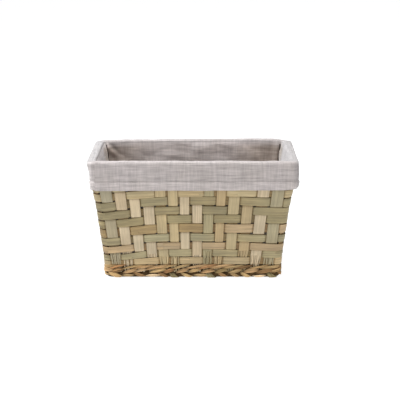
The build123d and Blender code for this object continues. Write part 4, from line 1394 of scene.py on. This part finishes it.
def build_corner_seams():
    """Overcast seam down each inner corner of the liner, coloured near-black as painted shade for the dark line in the
    corner groove.
    """
    rows = [i for i in range(len(LV)) if not IS_CUFF[i] and LP[i, 0, 2] < 172.5 and LP[i, 0, 2] > 14]
    bld = Build()
    for seg in (1, 3, 5, 7):
        js = np.where(SEG == seg)[0]
        j = js[{3: len(js) - 2, 5: 2}.get(seg, len(js) // 2)]
        P = LP[rows, j]
        N = -LN[rows, j]
        d = np.concatenate([[0], np.cumsum(np.linalg.norm(np.diff(P, axis=0), axis=1))])
        s = np.arange(0, d[-1], 1.2)
        P = np.stack([np.interp(s, d, P[:, q]) for q in range(3)], axis=1)
        N = np.stack([np.interp(s, d, N[:, q]) for q in range(3)], axis=1)
        N /= np.linalg.norm(N, axis=1, keepdims=True)
        T = np.gradient(P, axis=0)
        T /= np.linalg.norm(T, axis=1, keepdims=True)
        S = np.cross(N, T)
        wob = 0.15 * noise(s / 3.0, seg, 461)
        bld.ribbon(P + N * (0.60 if seg in (3, 5) else 0.95) + S * wob[:, None], N, S, (2.7 if seg in (3, 5) else 2.0) + 0.25 * noise(s / 4.0, seg, 462), t=0.7, crown=0.35, k=7,
                   tint=(0.5, 0.47, 0.45), seed=seg)
    return bld.make("liner_corner_seam_tape", seam_shade_mat, "liner", "thread", ["liner_corner_seams"])


seams = build_corner_seams()


# ------------------------------------------------------------------ wires that stay from the frame
def wire_material():
    m, nt, b = new_mat("wire_enamel")
    tc = nt.nodes.new("ShaderNodeTexCoord")
    n1 = noise_node(nt, tc.outputs["Object"], 900.0, 3.0)
    n2 = noise_node(nt, tc.outputs["Object"], 90.0, 3.0)
    col = mix_color(nt, ramp(nt, n2, 0.62, 0.72), (0.035, 0.030, 0.026), (0.16, 0.085, 0.045))
    nt.links.new(col, b.inputs["Base Color"])
    nt.links.new(ramp(nt, n1, 0.2, 0.8, 0.50, 0.70), b.inputs["Roughness"])
    b.inputs["Metallic"].default_value = 0.0
    b.inputs["Specular IOR Level"].default_value = 0.3
    bump = nt.nodes.new("ShaderNodeBump")
    bump.inputs["Strength"].default_value = 0.3
    bump.inputs["Distance"].default_value = 0.0001
    nt.links.new(n1, bump.inputs["Height"])
    nt.links.new(bump.outputs[0], b.inputs["Normal"])
    return m


wire_mat = wire_material()
for node in ("frame_rim_wire", "frame_foot_wire", "frame_corner_posts"):
    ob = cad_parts[node]
    if not ob.material_slots:
        ob.data.materials.append(wire_mat)
    for sl in ob.material_slots:
        sl.material = wire_mat

# ------------------------------------------------------------------ floor, light, camera
fm, nt, b = new_mat("studio_floor")
tc = nt.nodes.new("ShaderNodeTexCoord")
fn = noise_node(nt, tc.outputs["Object"], 40.0, 2.0)
nt.links.new(mix_color(nt, fn, (0.30, 0.30, 0.30), (0.33, 0.33, 0.33)), b.inputs["Base Color"])
b.inputs["Roughness"].default_value = 0.9
b.inputs["Specular IOR Level"].default_value = 0.1
b.inputs["Emission Color"].default_value = (1, 1, 1, 1)
b.inputs["Emission Strength"].default_value = 0.90
me = bpy.data.meshes.new("studio_floor")
e = 14.0
me.from_pydata([(-e, -e, 0), (e, -e, 0), (e, e, 0), (-e, e, 0)], [], [[0, 1, 2, 3]])
me.materials.append(fm)
floor = bpy.data.objects.new("studio_floor", me)
bpy.context.scene.collection.objects.link(floor)

sc = bpy.context.scene
world = bpy.data.worlds.new("studio")
sc.world = world
world.use_nodes = True
bg = world.node_tree.nodes["Background"]
bg.inputs[0].default_value = (1.0, 1.0, 1.0, 1.0)
bg.inputs[1].default_value = 0.30


def area(name, loc, target, size, power, color=(1, 1, 1)):
    li = bpy.data.lights.new(name, 'AREA')
    li.shape = 'RECTANGLE'
    li.size, li.size_y = size
    li.energy = power
    li.color = color
    ob = bpy.data.objects.new(name, li)
    ob.location = loc
    ob.rotation_euler = (Vector(target) - Vector(loc)).to_track_quat('-Z', 'Y').to_euler()
    sc.collection.objects.link(ob)
    return ob


area("key_overhead", (-0.15, -0.20, 1.5), (0, 0, 0.1), (1.2, 1.0), 18.0, (1.0, 0.99, 0.98))
area("left_window", (-1.3, 0.12, 1.05), (0, 0, 0.14), (1.0, 1.0), 25.5, (0.93, 0.97, 1.0))
area("front_fill", (0.3, -1.7, 0.28), (0, 0, 0.10), (1.6, 0.4), 4.3, (1.0, 0.985, 0.97))

cam = bpy.data.cameras.new("camera")
cam.sensor_width = 36.0
cam.lens = 1211.6 * 36.0 / 400.0
cam.clip_start, cam.clip_end = 0.1, 50.0
co = bpy.data.objects.new("camera", cam)
co.location = (0.01034, -1.75668, 0.50396)
co.rotation_euler = (math.pi / 2 - 0.225632, 0.0, 0.0)
sc.collection.objects.link(co)
sc.camera = co
sc.view_settings.view_transform = 'Standard'
sc.view_settings.look = 'None'
sc.view_settings.exposure = 0.0
sc.view_settings.gamma = 1.0

bpy.context.view_layer.update()
